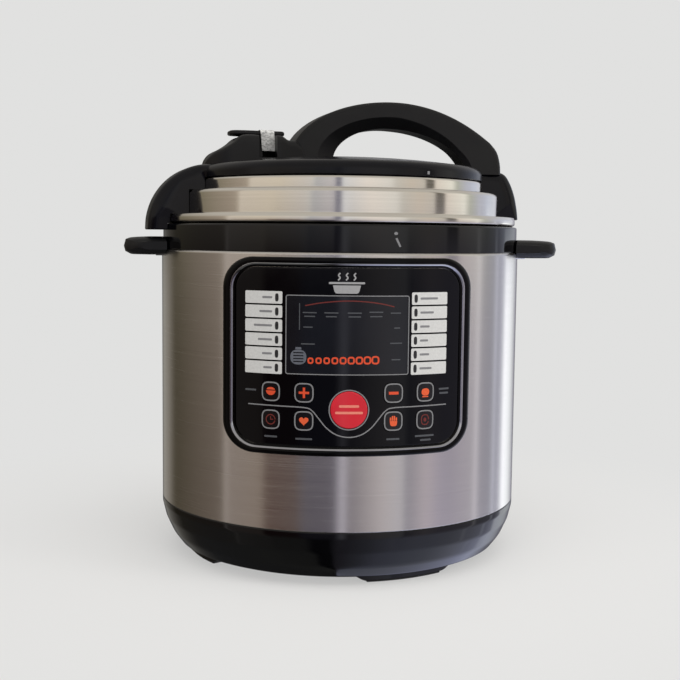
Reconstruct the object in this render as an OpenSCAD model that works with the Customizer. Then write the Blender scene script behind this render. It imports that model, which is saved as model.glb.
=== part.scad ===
// Electric pressure cooker, 6 litre class, shown with the lid on and not yet locked.
// Millimetres, +Z up. The origin is on the pot's axis, at the level that the feet stand on,
// and the control panel faces -Y.

/* [Body] */
// Outer radius of the steel shell
body_r = 132; // [131:0.5:133]
// Thickness of the steel shell
shell_t = 0.8; // [0.6:0.1:0.9]
// Height of the rubber feet
foot_h = 4.2; // [3.6:0.2:5]
// Height of the top edge of the base bowl
base_top = 39; // [38.5:0.5:42]
// Height of the top edge of the steel shell
shell_top = 221; // [219.5:0.5:221]
// Reach of a side handle from the axis
grip_reach = 156.8; // [155:0.1:160]
// Width of a side handle
grip_w = 88; // [84:1:96]

/* [Pot] */
// Outer radius of the inner pot
pot_r = 109.8; // [109:0.1:109.9]
// Wall thickness of the inner pot
pot_t = 1.6; // [1.5:0.1:2]
// Number of locking lugs round the outer pot
lug_count = 12; // [10:1:12]
// Width of a locking lug, in degrees
lug_width = 12; // [10:0.5:12]

/* [Lid] */
// Angle from the locked lid to the lid as it rests here, in degrees
lid_open = 13; // [12:0.5:14]
// Outer radius of the lid's rolled flange
flange_r = 129.5; // [128.6:0.1:129.8]
// Outer radius of the lid's tall band
band_r = 116.6; // [116:0.1:117]
// Outer radius of the lid's upper step
step_r = 105.3; // [105:0.1:105.6]
// Height of the crown of the black lid cover
crown_top = 289; // [288.5:0.25:289.5]
// Height of the top of the lid handle
arch_top = 330.7; // [329:0.1:334]
// Width of the lid handle
arch_w = 30; // [28:1:32]

/* [Controls] */
// Width of the control panel, measured straight across
panel_w = 164; // [162:1:168]
// Height of the control panel
panel_h = 128; // [127:0.5:129]
// Radius of the round menu button
menu_r = 12.1; // [11.5:0.1:12.4]
// Radius of a small key
key_r = 6.7; // [6:0.1:6.9]

/* [Hidden] */

$fn = 48;
fine = 180;
tall = 60;

// Clearances: between bodies that move, round a screw or a peg, and past a face when cutting
gap = 0.3;
screw_gap = 0.05;
past = 1;

// Colours
gloss_black = [0.05, 0.05, 0.06];
satin_black = [0.11, 0.11, 0.12];
steel = [0.66, 0.64, 0.61];
bright = [0.84, 0.82, 0.77];
rubber_black = [0.08, 0.08, 0.08];
board_green = [0.1, 0.3, 0.18];

// Base and its bottom cover
bowl_r = 13.4;
bowl_c = body_r - bowl_r;
bowl_z = base_top - 18.3;
bowl_wall = 3.2;
cover_r = 90.6;
cover_t = 2.8;
floor_z = foot_h + cover_t;
flange_z = floor_z + 2.6;
foot_in = 97;
foot_out = 112.5;
foot_span = 34.5;
foot_first = 22;
peg_r = 2.5;
bottom_screw_at = 86.5;

// Steel shell, rim collar and gutter
shell_in = body_r - shell_t;
lip_in = body_r - 3.9;
lip_t = 0.8;
collar_r = body_r - 1;
collar_bore = collar_r - 2.8;
rim_top = shell_top + 18;
gutter_z = shell_top + 2.4;
skirt_out = lip_in - 0.2;
skirt_in = skirt_out - 2.5;
skirt_z = shell_top - 7;

// Side handles
grip_low = shell_top - 4.2;
grip_high = shell_top + 9.2;
grip_corner = 14;
grip_screw_y = 30;
grip_screw_z = shell_top - 2.5 - lip_t;
grip_screw_r = 1.5;
grip_head_x = 118.9;
grip_head_t = 2;

// Outer pot, heating plate and what hangs under it
tub_in = pot_r + 2;
tub_out = tub_in + 2.4;
tub_floor = 47.9;
tub_hole = 81;
lug_z = rim_top + 0.4;
lug_t = 2.8;
tub_top = lug_z + lug_t;
lug_r = 123.5;
plate_r = 80;
plate_low = 44;
plate_top = 54;
plate_flange_r = 92;
plate_flange_t = 3.6;
plate_bolt_at = 86.5;
sensor_r = 12.7;
sensor_hole = 13.2;
stem_r = 4;
strap_z = 34.5;
strap_t = 1.5;
tube_at = 58;
tube_r = 4;
tube_span = 320;
post_at = 100;

// Inner pot
pot_floor = plate_top + gap;
pot_corner = 12;
pot_in = pot_r - pot_t;
pot_rim_z = tub_top + gap;
pot_rim_t = 1.8;
pot_rim_r = pot_r + 3.6;

// Support cap under the lid
cap_z = rim_top + 8;
stud_r = 4;

// Lid, measured up from the rim
bead_z = rim_top + gap;
bead_top = rim_top + 6.8;
band_top = rim_top + 24.1;
deck_top = rim_top + 32.8;
deck_t = 2.4;
deck_low = deck_top - deck_t;
tooth_z = rim_top - 2.6;
tooth_t = 2.5;
tooth_r = 117.5;
lid_skirt_in = flange_r - 4.5;
lid_skirt_out = flange_r - 1.9;
roof_low = bead_top - 2.9;

// Lid cover
cover_z = deck_top + 0.2;
crown_bend = 684;
shoulder_r = 6.5;
shoulder_c = 98.5;
shoulder_z = cover_z + 3.4;
cover_wall = 2.4;
cover_edge = shoulder_c + shoulder_r;
arm_w = 28;
arm_top = 281.6;
arm_in = 131.5;

// Lid handle with its valve tower
tower_w = 40;
tower_top = 303;
// Slope, flat top and dip of the valve tower, from the left
tower_slope = [[-101.2, arm_top + 0.1], [-101.2, 283.7], [-96.1, 289.3], [-88.9, 293.1],
               [-83.4, 296.5], [-76.1, tower_top], [-42, tower_top], [-39.7, tower_top - 1.8]];
arch_mid = 37;
screw_left = -22;
screw_right = 98;
lid_screw_r = 2;

// Valve and float, in the lid's own frame
valve_at = -65;
pipe_r = 4;
pipe_top = 296.5;
well_r = 17;
lever_low = tower_top + 0.4;
lever_t = 4.2;
lever_l = 40;
lever_w = 20;
knob_r = 9.8;
float_at = [-34, 29];
float_r = 3;
float_low = deck_low - 7.4;

// Rear: power inlet, and condensation cup at the rear right
cup_angle = 135;
inlet_z = 26.5;
inlet_w = 30.4;
inlet_h = 22.4;
inlet_front = 130.4;
cup_w = 58;
cup_near = 134.8;
cup_far = 158;
cup_low = 150;
cup_top = 206;
cup_wall = 1.8;
rail_top = 192;
rail_hook = 151;

// Control panel
panel_mid = shell_top - 67.25;
panel_corner = 20;
bezel_in = body_r + 0.15;
bezel_out = body_r + 3.2;
sheet_in = body_r + 1;
sheet_out = body_r + 2.4;
sheet_w = 147.6;
sheet_h = 115;
sheet_corner = 14;
ledge_w = 142;
window_x = -1.2;
window_w = 78.6;
window_z = 168.25;
window_h = 49.9;
board_y = 117.8;
board_t = 1.6;
switch_h = 2;
key_travel = 0.7;
key_back = shell_in + 0.2;
key_front = sheet_out + 0.3;
menu_z = 120.3;
upper_z = 131;
lower_z = 112.8;
key_angles = [-21.9, -12.4, 12.4, 21.9];

// Points on an arc or on part of an ellipse, from angle a to angle b
function oval(x, z, rx, rz, a, b, n) =
  [for (i = [0:n]) let (t = a + (b - a) * i / n) [x + rx * cos(t), z + rz * sin(t)]];
function arc(x, z, r, a, b, n) = oval(x, z, r, r, a, b, n);

// Height of the lid cover's crown at radius r
function crown(r) = crown_top - r * r / (2 * crown_bend);

module revolve(points) {
  rotate_extrude($fn = fine) polygon(points);
}

module ring(r_in, r_out, z_low, z_high) {
  revolve([[r_in, z_low], [r_out, z_low], [r_out, z_high], [r_in, z_high]]);
}

// Part of a ring, width degrees wide, centred on +X
module sector(r_in, r_out, z_low, z_high, width) {
  rotate([0, 0, -width / 2])
    rotate_extrude(angle = width, $fn = fine)
      polygon([[r_in, z_low], [r_out, z_low], [r_out, z_high], [r_in, z_high]]);
}

// A place on the side of the body: angle from the front, with -Y pointing outward
module at(angle) {
  rotate([0, 0, angle]) children();
}

// A cylinder that runs outward along -Y from distance near to distance far
module outward(r, near, far, x = 0, z = 0) {
  translate([x, -near, z]) rotate([90, 0, 0]) cylinder(r = r, h = far - near);
}

// The lid's own frame: X along the handle, turned by the lid's rest angle
module lid_frame() {
  rotate([0, 0, lid_open]) children();
}

module round_rect(w, h, r) {
  square([w - 2 * r, h], center = true);
  square([w, h - 2 * r], center = true);
  for (x = [-1, 1], y = [-1, 1])
    translate([x * (w / 2 - r), y * (h / 2 - r)]) circle(r = r);
}

// A slab of the front, w by h with rounded corners, for cutting panel parts from rings
module front_slab(w, h, r, x = 0, z = panel_mid) {
  translate([x, 0, z])
    rotate([90, 0, 0])
      linear_extrude(bezel_out + past) round_rect(w, h, r);
}

// An upright outline given in X and Z, w thick
module upright(points, w) {
  translate([0, w / 2, 0]) rotate([90, 0, 0]) linear_extrude(w) polygon(points);
}

// A round coil along +Z
module coil(r, wire, height, turns) {
  steps = 14 * turns;
  sides = 8;
  points = [for (i = [0:steps]) for (j = [0:sides - 1])
    let (t = 360 * i / 14, u = 360 * j / sides, d = r + wire * cos(u))
    [d * cos(t), d * sin(t), height * i / steps + wire * sin(u)]];
  sides_list = [for (i = [0:steps - 1]) for (j = [0:sides - 1])
    let (k = (j + 1) % sides)
    [i * sides + j, (i + 1) * sides + j, (i + 1) * sides + k, i * sides + k]];
  low_end = [for (j = [0:sides - 1]) j];
  high_end = [for (j = [sides - 1:-1:0]) steps * sides + j];
  polyhedron(points, concat(sides_list, [low_end, high_end]));
}

// A wire through a list of points
module wire(points, r) {
  for (i = [1:len(points) - 1]) {
    step = points[i] - points[i - 1];
    translate(points[i - 1])
      rotate([0, acos(step.z / norm(step)), atan2(step.y, step.x)])
        cylinder(r = r, h = norm(step), $fn = 24);
  }
  for (i = [1:len(points) - 2]) translate(points[i]) sphere(r = r, $fn = 24);
}

// ---- Base ----

module foot_places() {
  for (k = [0:3]) at(foot_first + 90 * k) rotate([0, 0, -90]) children();
}

module foot_pegs(r, z_low, z_high) {
  for (a = [-1, 1])
    rotate([0, 0, a * foot_span / 4])
      translate([(foot_in + foot_out) / 2, 0, z_low]) cylinder(r = r, h = z_high - z_low);
}

module bottom_screw_places() {
  for (k = [0:3]) rotate([0, 0, 45 + 90 * k]) translate([bottom_screw_at, 0, 0]) children();
}

module base_housing() {
  bowl_in = bowl_r - bowl_wall;
  color(gloss_black)
  difference() {
    revolve(concat(
      [[cover_r + 0.2, foot_h], [113, foot_h], [118, foot_h + 1.8],
       [120.5, foot_h + 2.4], [121.6, foot_h + 3.6]],
      arc(bowl_c, bowl_z, bowl_r, -75, 0, 8),
      [[body_r, base_top], [shell_in - 0.2, base_top], [shell_in - 0.2, base_top + 5],
       [bowl_c + bowl_in, base_top + 5]],
      arc(bowl_c, bowl_z, bowl_in, 0, -75, 8),
      [[112, floor_z + 0.2], [95, floor_z + 0.2], [95, flange_z], [82, flange_z],
       [82, floor_z], [cover_r + 0.2, floor_z]]
    ));
    foot_places() foot_pegs(peg_r + screw_gap, 0, flange_z);
    bottom_screw_places() translate([0, 0, foot_h]) cylinder(r = 1.5 + screw_gap, h = 8);
    at(180)
      translate([-inlet_w / 2 - 0.2, -body_r - past, inlet_z - inlet_h / 2 - 0.2])
        cube([inlet_w + 0.4, 14, inlet_h + 0.4]);
  }
}

module bottom_cover() {
  color(steel)
  difference() {
    translate([0, 0, foot_h]) cylinder(r = cover_r, h = cover_t, $fn = fine);
    bottom_screw_places() cylinder(r = 1.5 + screw_gap, h = tall);
    for (k = [0:23])
      rotate([0, 0, 15 * k + 7.5])
        translate([56, 0, 0])
          linear_extrude(tall) {
            square([20, 4], center = true);
            for (x = [-10, 10]) translate([x, 0]) circle(r = 2);
          }
  }
}

module bottom_screws() {
  color(steel)
  bottom_screw_places() {
    translate([0, 0, foot_h - 1.8]) cylinder(r = 3.2, h = 1.8);
    translate([0, 0, foot_h]) cylinder(r = 1.5, h = flange_z - foot_h);
  }
}

module rubber_feet() {
  color(rubber_black)
  foot_places() {
    rotate([0, 0, -foot_span / 2])
      rotate_extrude(angle = foot_span, $fn = fine)
        polygon([[foot_in, 0.8], [foot_in + 0.8, 0], [foot_out - 0.8, 0], [foot_out, 0.8],
                 [foot_out, foot_h], [foot_in, foot_h]]);
    foot_pegs(peg_r, foot_h, floor_z);
  }
}

// ---- Shell, collar and side handles ----

module grip_screw_holes(r) {
  for (side = [0, 180], y = [-1, 1])
    rotate([0, 0, side])
      translate([grip_head_x, y * grip_screw_y, grip_screw_z])
        rotate([0, 90, 0]) cylinder(r = r, h = 22);
}

module steel_shell() {
  cut_w = 132;
  cut_h = 110;
  color(steel)
  difference() {
    union() {
      ring(shell_in, body_r, base_top, shell_top);
      ring(lip_in, body_r, shell_top - lip_t, shell_top);
    }
    translate([-cut_w / 2, -body_r - past, panel_mid - cut_h / 2])
      cube([cut_w, 40, cut_h]);
    grip_screw_holes(grip_screw_r + screw_gap);
    at(cup_angle) bracket_pegs(2.5 + screw_gap, body_r + past);
  }
}

module rim_collar() {
  color(gloss_black)
  difference() {
    revolve([
      [tub_out + 0.8, shell_top], [skirt_in, shell_top], [skirt_in, skirt_z],
      [skirt_out, skirt_z], [skirt_out, shell_top], [collar_r, shell_top],
      [collar_r, rim_top - 1.2], [collar_r - 1.2, rim_top], [collar_bore, rim_top],
      [collar_bore, gutter_z], [tub_out + 2.8, gutter_z],
      [tub_out + 2.8, gutter_z + 5.6], [tub_out + 0.8, gutter_z + 5.6]
    ]);
    grip_screw_holes(grip_screw_r + screw_gap);
    at(cup_angle) translate([-4, -collar_bore - 8, gutter_z]) cube([8, 12, 4]);
  }
}

module side_handle() {
  wall = 6;
  color(satin_black)
  difference() {
    intersection() {
      revolve([
        [body_r + 0.1, grip_low], [grip_reach - 5.3, grip_low], [grip_reach - 1.8, grip_low + 1.7],
        [grip_reach, grip_low + 4.7], [grip_reach, grip_low + 8.2],
        [grip_reach - 1.8, grip_low + 11], [grip_reach - 6.3, grip_low + 12.4],
        [collar_r + 0.1, grip_high], [collar_r + 0.1, shell_top + 0.2],
        [body_r + 0.1, shell_top + 0.2]
      ]);
      translate([grip_reach - 40, 0, 0])
        linear_extrude(rim_top) round_rect(80, grip_w, grip_corner);
    }
    intersection() {
      ring(body_r + 5, grip_reach - wall, 0, grip_low + 7.8);
      translate([0, -grip_w / 2 + wall, 0]) cube([200, grip_w - 2 * wall, rim_top]);
    }
    grip_screw_holes(grip_screw_r + screw_gap);
  }
}

module side_handle_right() {
  side_handle();
}

module side_handle_left() {
  rotate([0, 0, 180]) side_handle();
}

module handle_screws() {
  color(steel)
  for (side = [0, 180], y = [-1, 1])
    rotate([0, 0, side])
      translate([0, y * grip_screw_y, grip_screw_z])
        rotate([0, 90, 0]) {
          translate([0, 0, grip_head_x]) cylinder(r = 2.8, h = grip_head_t);
          translate([0, 0, grip_head_x + grip_head_t]) cylinder(r = grip_screw_r, h = 13);
        }
}

// ---- Outer pot, heater and electrics ----

module support_posts() {
  color(steel)
  for (k = [0:3])
    rotate([0, 0, 45 + 90 * k])
      translate([post_at, 0, floor_z + 0.2]) cylinder(r = 5, h = tub_floor - floor_z - 0.2);
}

module plate_bolt_places() {
  for (k = [0:2]) rotate([0, 0, 120 * k + 30]) translate([plate_bolt_at, 0, 0]) children();
}

// The pot's flange is cut into lugs by the gaps between them
module outer_pot() {
  floor_t = 2.4;
  lug_pitch = 360 / lug_count;
  color(bright)
  difference() {
    revolve([[tub_hole, tub_floor], [tub_out, tub_floor], [tub_out, lug_z], [lug_r, lug_z],
             [lug_r, tub_top], [tub_in, tub_top], [tub_in, tub_floor + floor_t],
             [tub_hole, tub_floor + floor_t]]);
    for (k = [0:lug_count - 1])
      rotate([0, 0, lug_pitch * (k + 0.5)])
        sector(tub_out + 0.8, lug_r + past, lug_z - past, tub_top + past, lug_pitch - lug_width);
    plate_bolt_places() cylinder(r = 1.5 + screw_gap, h = tall);
  }
}

module heating_plate() {
  color([0.75, 0.75, 0.76])
  difference() {
    revolve([[sensor_hole, plate_low], [plate_flange_r, plate_low],
             [plate_flange_r, plate_low + plate_flange_t], [plate_r, plate_low + plate_flange_t],
             [plate_r, plate_top - 0.8], [plate_r - 1.2, plate_top], [sensor_hole, plate_top]]);
    plate_bolt_places() cylinder(r = 1.5 + screw_gap, h = tall);
  }
}

module plate_bolts() {
  head_z = tub_floor + 2.4;
  color(steel)
  plate_bolt_places() {
    translate([0, 0, plate_low - 3]) cylinder(r = 1.5, h = head_z - plate_low + 3);
    translate([0, 0, head_z]) cylinder(r = 3, h = 1.8);
  }
}

module heating_tube() {
  tube_z = plate_low - tube_r - 0.1;
  color([0.5, 0.48, 0.45])
  rotate([0, 0, 90 - tube_span / 2]) {
    rotate_extrude(angle = tube_span, $fn = fine) translate([tube_at, tube_z]) circle(r = tube_r);
    for (a = [0, tube_span])
      rotate([0, 0, a]) translate([tube_at, 0, tube_z - 12]) cylinder(r = 2.5, h = 12);
  }
}

module sensor_bracket() {
  reach = 48;
  color(steel)
  difference() {
    union() {
      translate([-reach, -8, strap_z]) cube([2 * reach, 16, strap_t]);
      for (x = [-reach, reach - 1.5])
        translate([x, -8, strap_z]) cube([1.5, 16, plate_low - strap_z]);
    }
    cylinder(r = stem_r + 0.4, h = tall);
  }
}

module sensor_spring() {
  color(steel)
  translate([0, 0, strap_z + strap_t + 0.7]) coil(6.5, 0.6, 7.8, 4);
}

module temperature_sensor() {
  color([0.78, 0.78, 0.8])
  revolve([[0, 28], [stem_r, 28], [stem_r, 45.5], [sensor_r, 45.5],
           [sensor_r, plate_top - 1], [sensor_r - 1, plate_top], [0, plate_top]]);
}

module pressure_switch() {
  color([0.85, 0.83, 0.75])
  translate([-102, -9, 30]) {
    cube([12, 18, 12]);
    translate([3, 6, 12]) cube([5, 6, 5.7]);
  }
}

module thermal_fuse() {
  color([0.9, 0.9, 0.88])
  translate([66, 30, plate_low - 5.2]) rotate([90, 0, 0]) cylinder(r = 2.4, h = 22);
}

module power_board() {
  color(board_green) {
    translate([-50, -42, 20]) cube([100, 84, board_t]);
    translate([-44, 8, 20 + board_t]) cube([20, 16, 12]);
    translate([14, 6, 20 + board_t]) cube([30, 26, 11]);
    translate([-34, -24, 20 + board_t]) cylinder(r = 6, h = 12);
    translate([24, -28, 20 + board_t]) cylinder(r = 4, h = 9);
    translate([-16, -38, 20 + board_t]) cube([28, 8, 8]);
  }
}

module board_standoffs() {
  color([0.9, 0.88, 0.8])
  for (x = [-1, 1], y = [-1, 1])
    translate([45 * x, 37 * y, floor_z]) cylinder(r = 3, h = 20 - floor_z);
}

module control_board() {
  color(board_green) {
    translate([-54, -board_y, panel_mid - 54]) cube([108, board_t, 108]);
    outward(4, board_y, board_y + switch_h, 0, menu_z);
    for (a = key_angles, z = [upper_z, lower_z])
      outward(2.5, board_y, board_y + switch_h, (board_y + switch_h) * tan(a), z);
  }
}

module display_module() {
  color([0.12, 0.13, 0.14])
  translate([window_x - 42, -board_y - 8, window_z - 27]) cube([84, 8, 54]);
}

module wiring() {
  wire_r = 1.3;
  color([0.55, 0.1, 0.08])
  for (x = [-1, 1]) {
    wire([[5 * x, 98, inlet_z], [12 * x, 80, inlet_z], [12 * x, 56, 30], [12 * x, 38, 23.1]], wire_r);
    wire([[38 * x, -38, 23.1], [52 * x, -60, 30], [45 * x, -106, 34], [30 * x, -119, 54],
          [30 * x, -117, 98]], wire_r);
  }
}

module inlet_socket() {
  depth = 22;
  shroud = 24.4;
  color(satin_black)
  at(180)
  difference() {
    translate([-inlet_w / 2, -inlet_front, inlet_z - inlet_h / 2])
      cube([inlet_w, depth + 2.4, inlet_h]);
    translate([0, -inlet_front + depth, inlet_z])
      rotate([90, 0, 0])
        linear_extrude(depth + past)
          polygon([[-shroud / 2, -8], [shroud / 2, -8], [shroud / 2, 3.5], [shroud / 2 - 4.5, 8],
                   [-shroud / 2 + 4.5, 8], [-shroud / 2, 3.5]]);
    inlet_blades(0.1, inlet_front - depth - 4, inlet_front - depth + past);
  }
}

// Three flat blades: two live ones below and the earth above
module inlet_blades(grow, near, far) {
  for (p = [[-7, -2], [0, 2], [7, -2]])
    translate([p.x - 1 - grow, -far, inlet_z + p.y - 2 - grow])
      cube([2 + 2 * grow, far - near, 4 + 2 * grow]);
}

module inlet_pins() {
  color([0.8, 0.75, 0.55])
  at(180) inlet_blades(0, inlet_front - 30, inlet_front - 6.5);
}

// ---- Rear cup ----

module bracket_pegs(r, far) {
  for (x = [-1, 1]) outward(r, body_r - 8, far, 16 * x, 176);
}

// Curved plate with two rails, and a hood that leads the gutter's water down into the cup
module cup_bracket() {
  rail_x = cup_w / 2 + 0.5;
  rail_reach = 152;
  hood_far = 148;
  hood_low = cup_top + 2;
  color(satin_black)
  at(cup_angle) {
    difference() {
      union() {
        intersection() {
          ring(body_r + 0.1, body_r + 2.1, 160, shell_top - 1);
          translate([-rail_x - 2, -rail_reach, 0]) cube([2 * rail_x + 4, 60, rim_top]);
        }
        for (x = [-rail_x - 2, rail_x])
          translate([x, -rail_reach, rail_top - 6]) cube([2, 26, 6]);
        translate([-9, -hood_far, hood_low]) cube([18, 22, 22]);
      }
      cylinder(r = body_r + 0.1, h = shell_top + 0.2, $fn = fine);
      translate([0, 0, shell_top]) cylinder(r = collar_r + 0.1, h = tall, $fn = fine);
      translate([-7, -hood_far + 2, hood_low - past]) cube([14, 20, 21]);
    }
    bracket_pegs(2.5, body_r + 0.6);
  }
}

module condensation_cup() {
  hook = 2.2;
  color([0.75, 0.77, 0.78])
  at(cup_angle)
  difference() {
    union() {
      translate([-cup_w / 2, -cup_far, cup_low]) cube([cup_w, cup_far - cup_near, cup_top - cup_low]);
      translate([-cup_w / 2 - hook, -rail_hook, rail_top + gap]) cube([cup_w + 2 * hook, 14, 2.5]);
    }
    translate([-cup_w / 2 + cup_wall, -cup_far + cup_wall, cup_low + cup_wall])
      cube([cup_w - 2 * cup_wall, cup_far - cup_near - 2 * cup_wall, tall]);
  }
}

// ---- Control panel ----

module panel_bezel() {
  color(gloss_black)
  difference() {
    intersection() {
      ring(bezel_in, bezel_out, panel_mid - panel_h, panel_mid + panel_h);
      front_slab(panel_w, panel_h, panel_corner);
    }
    intersection() {
      ring(sheet_in - 0.1, bezel_out + past, 0, rim_top);
      front_slab(sheet_w + 0.4, sheet_h + 0.4, sheet_corner + 0.2);
    }
    front_slab(ledge_w, sheet_h - 6, sheet_corner - 3);
  }
}

module panel_sheet() {
  color(gloss_black)
  difference() {
    intersection() {
      ring(sheet_in, sheet_out, 0, rim_top);
      front_slab(sheet_w, sheet_h, sheet_corner);
    }
    translate([window_x - window_w / 2 - 0.2, -tall - 90, window_z - window_h / 2 - 0.2])
      cube([window_w + 0.4, tall, window_h + 0.4]);
    for (a = key_angles, z = [upper_z, lower_z])
      at(a) outward(key_r + gap, shell_in, bezel_out + past, 0, z);
    outward(menu_r + gap, shell_in, bezel_out + past, 0, menu_z);
  }
}

module display_window() {
  color([0.1, 0.11, 0.12])
  intersection() {
    ring(sheet_in, sheet_out - 0.2, 0, rim_top);
    translate([window_x - window_w / 2, -tall - 90, window_z - window_h / 2])
      cube([window_w, tall, window_h]);
  }
}

// A key that slides inward, with a collar behind the sheet and a stem towards its switch
module key(r, angle, z, stem) {
  switch_top = board_y + switch_h + key_travel + 0.4;
  collar = r + 1.1;
  collar_front = sqrt(sheet_in * sheet_in - collar * collar) - gap;
  stem_end = (switch_top + stem * sin(abs(angle))) / cos(angle);
  at(angle) {
    outward(r, key_back, key_front, 0, z);
    outward(collar, key_back, collar_front, 0, z);
    outward(stem, min(stem_end, key_back - 0.1), key_back, 0, z);
  }
}

module menu_button() {
  color([0.85, 0.08, 0.12]) key(menu_r, 0, menu_z, 3);
}

module small_key(column, z) {
  color(gloss_black) key(key_r, key_angles[column - 1], z, 2);
}

module key_upper_1() { small_key(1, upper_z); }
module key_upper_2() { small_key(2, upper_z); }
module key_upper_3() { small_key(3, upper_z); }
module key_upper_4() { small_key(4, upper_z); }
module key_lower_1() { small_key(1, lower_z); }
module key_lower_2() { small_key(2, lower_z); }
module key_lower_3() { small_key(3, lower_z); }
module key_lower_4() { small_key(4, lower_z); }

// ---- Inner pot and support cap ----

module inner_pot() {
  color(steel)
  revolve(concat(
    [[0, pot_floor]],
    arc(pot_r - pot_corner, pot_floor + pot_corner, pot_corner, -90, 0, 8),
    [[pot_r, pot_rim_z], [pot_rim_r, pot_rim_z], [pot_rim_r, pot_rim_z + pot_rim_t - 0.6],
     [pot_rim_r - 0.6, pot_rim_z + pot_rim_t], [pot_in + 0.6, pot_rim_z + pot_rim_t],
     [pot_in, pot_rim_z + pot_rim_t - 0.6]],
    arc(pot_r - pot_corner, pot_floor + pot_corner, pot_corner - pot_t, 0, -90, 8),
    [[0, pot_floor + pot_t]]
  ));
}

module support_cap() {
  color(bright)
  difference() {
    revolve([[8.2, cap_z + 2], [22, cap_z + 2], [32, cap_z], [99, cap_z], [99, cap_z - 5.6],
             [100.2, cap_z - 5.6], [100.2, cap_z], [104.5, cap_z], [104.5, cap_z + 1.2],
             [32, cap_z + 1.2], [22, cap_z + 3.2], [8.2, cap_z + 3.2]]);
    for (k = [0:5]) rotate([0, 0, 60 * k]) translate([62, 0, cap_z - 2]) cylinder(r = 3, h = 6);
  }
}

module sealing_ring() {
  ring_in = 100.5;
  ring_out = pot_in - gap;
  lip = 2;
  color([0.86, 0.86, 0.84])
  revolve([[ring_in, cap_z - 6.4], [ring_in + lip, cap_z - 6.4], [ring_in + lip + 0.4, cap_z - 3],
           [ring_out - lip - 0.4, cap_z - 3], [ring_out - lip, cap_z - 6.4],
           [ring_out, cap_z - 6.4], [ring_out, cap_z - 0.1], [ring_in, cap_z - 0.1]]);
}

module cap_grommet() {
  color([0.6, 0.2, 0.16])
  revolve([[stud_r + 0.08, cap_z - 1.5], [10.5, cap_z - 1.5], [10.5, cap_z + 1.9],
           [8, cap_z + 1.9], [8, cap_z + 3.3], [10.5, cap_z + 3.3], [10.5, cap_z + 6],
           [stud_r + 0.08, cap_z + 6]]);
}

module cap_stud() {
  color(steel)
  revolve([[0, cap_z - 4], [stud_r - 1, cap_z - 4], [stud_r, cap_z - 3], [stud_r, deck_low - 2.4],
           [8, deck_low - 2.4], [8, deck_low], [0, deck_low]]);
}

// ---- Lid ----

module lid_screw_places() {
  for (x = [screw_left, screw_right]) translate([x, 0, 0]) children();
}

module lid_shell() {
  tooth_turn = 180 / lug_count - lid_open;
  color(bright)
  lid_frame()
  difference() {
    union() {
      revolve(concat(
        [[lid_skirt_in, tooth_z], [lid_skirt_out, tooth_z], [lid_skirt_out, bead_z],
         [flange_r - 0.9, bead_z], [flange_r, bead_z + 0.9], [flange_r, bead_top - 1],
         [flange_r - 1, bead_top], [band_r + 1, bead_top], [band_r, bead_top + 1]],
        arc(band_r - 2.5, band_top - 2.5, 2.5, 0, 90, 4),
        [[step_r + 1, band_top + 0.2], [step_r, band_top + 1.2]],
        arc(step_r - 2, deck_top - 2, 2, 0, 90, 4),
        [[0, deck_top], [0, deck_low], [step_r - deck_t, deck_low],
         [step_r - deck_t, band_top - 2.3], [band_r - deck_t, band_top - 2.6],
         [band_r - deck_t, roof_low], [lid_skirt_in, roof_low]]
      ));
      for (k = [0:lug_count - 1])
        rotate([0, 0, 360 / lug_count * k + tooth_turn])
          sector(tooth_r, lid_skirt_in + 0.6, tooth_z, tooth_z + tooth_t, lug_width);
    }
    translate([valve_at, 0, deck_low - past]) cylinder(r = pipe_r + 0.2, h = 6);
    translate([float_at.x, float_at.y, deck_low - past]) cylinder(r = float_r + gap, h = 6);
    lid_screw_places() translate([0, 0, deck_low - past]) cylinder(r = lid_screw_r + 0.1, h = 6);
  }
}

module cover_outline() {
  polygon(concat(
    [[cover_edge, cover_z]],
    arc(shoulder_c, shoulder_z, shoulder_r, 0, 80, 5),
    [for (r = [90:-15:0]) [r, crown(r)]],
    [[0, cover_z]]
  ));
}

module left_arm() {
  reach = 144.3;
  low = rim_top - 4.3;
  mirror([1, 0, 0])
  difference() {
    upright(concat(
      [[98, cover_z + 1], [98, arm_top - 0.1]],
      oval(102, low, reach - 102, arm_top - 0.1 - low, 90, 0, 10),
      [[arm_in, low], [arm_in, bead_top + gap], [band_r + gap, bead_top + gap],
       [band_r + gap, band_top + gap], [step_r + gap, band_top + gap], [step_r + gap, cover_z + 1]]
    ), arm_w);
    translate([119.5, -arm_w / 2 + 2.5, bead_top - past]) cube([12.5, arm_w - 5, 17]);
    translate([134, -arm_w / 2 + 2.5, low - past]) cube([7, arm_w - 5, 15]);
  }
}

module right_arm() {
  low = rim_top + 6.2;
  difference() {
    upright([
      [98, cover_z + 1], [98, arm_top], [129.5, arm_top], [132.6, arm_top - 2],
      [136.6, arm_top - 8.6], [139.6, arm_top - 16], [142.4, low + 8], [143.8, low],
      [arm_in, low], [arm_in, bead_top + gap], [band_r + gap, bead_top + gap],
      [band_r + gap, band_top + gap], [step_r + gap, band_top + gap], [step_r + gap, cover_z + 1]
    ], arm_w);
    translate([119.5, -arm_w / 2 + 2.5, bead_top - past]) cube([16, arm_w - 5, 22]);
  }
}

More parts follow.
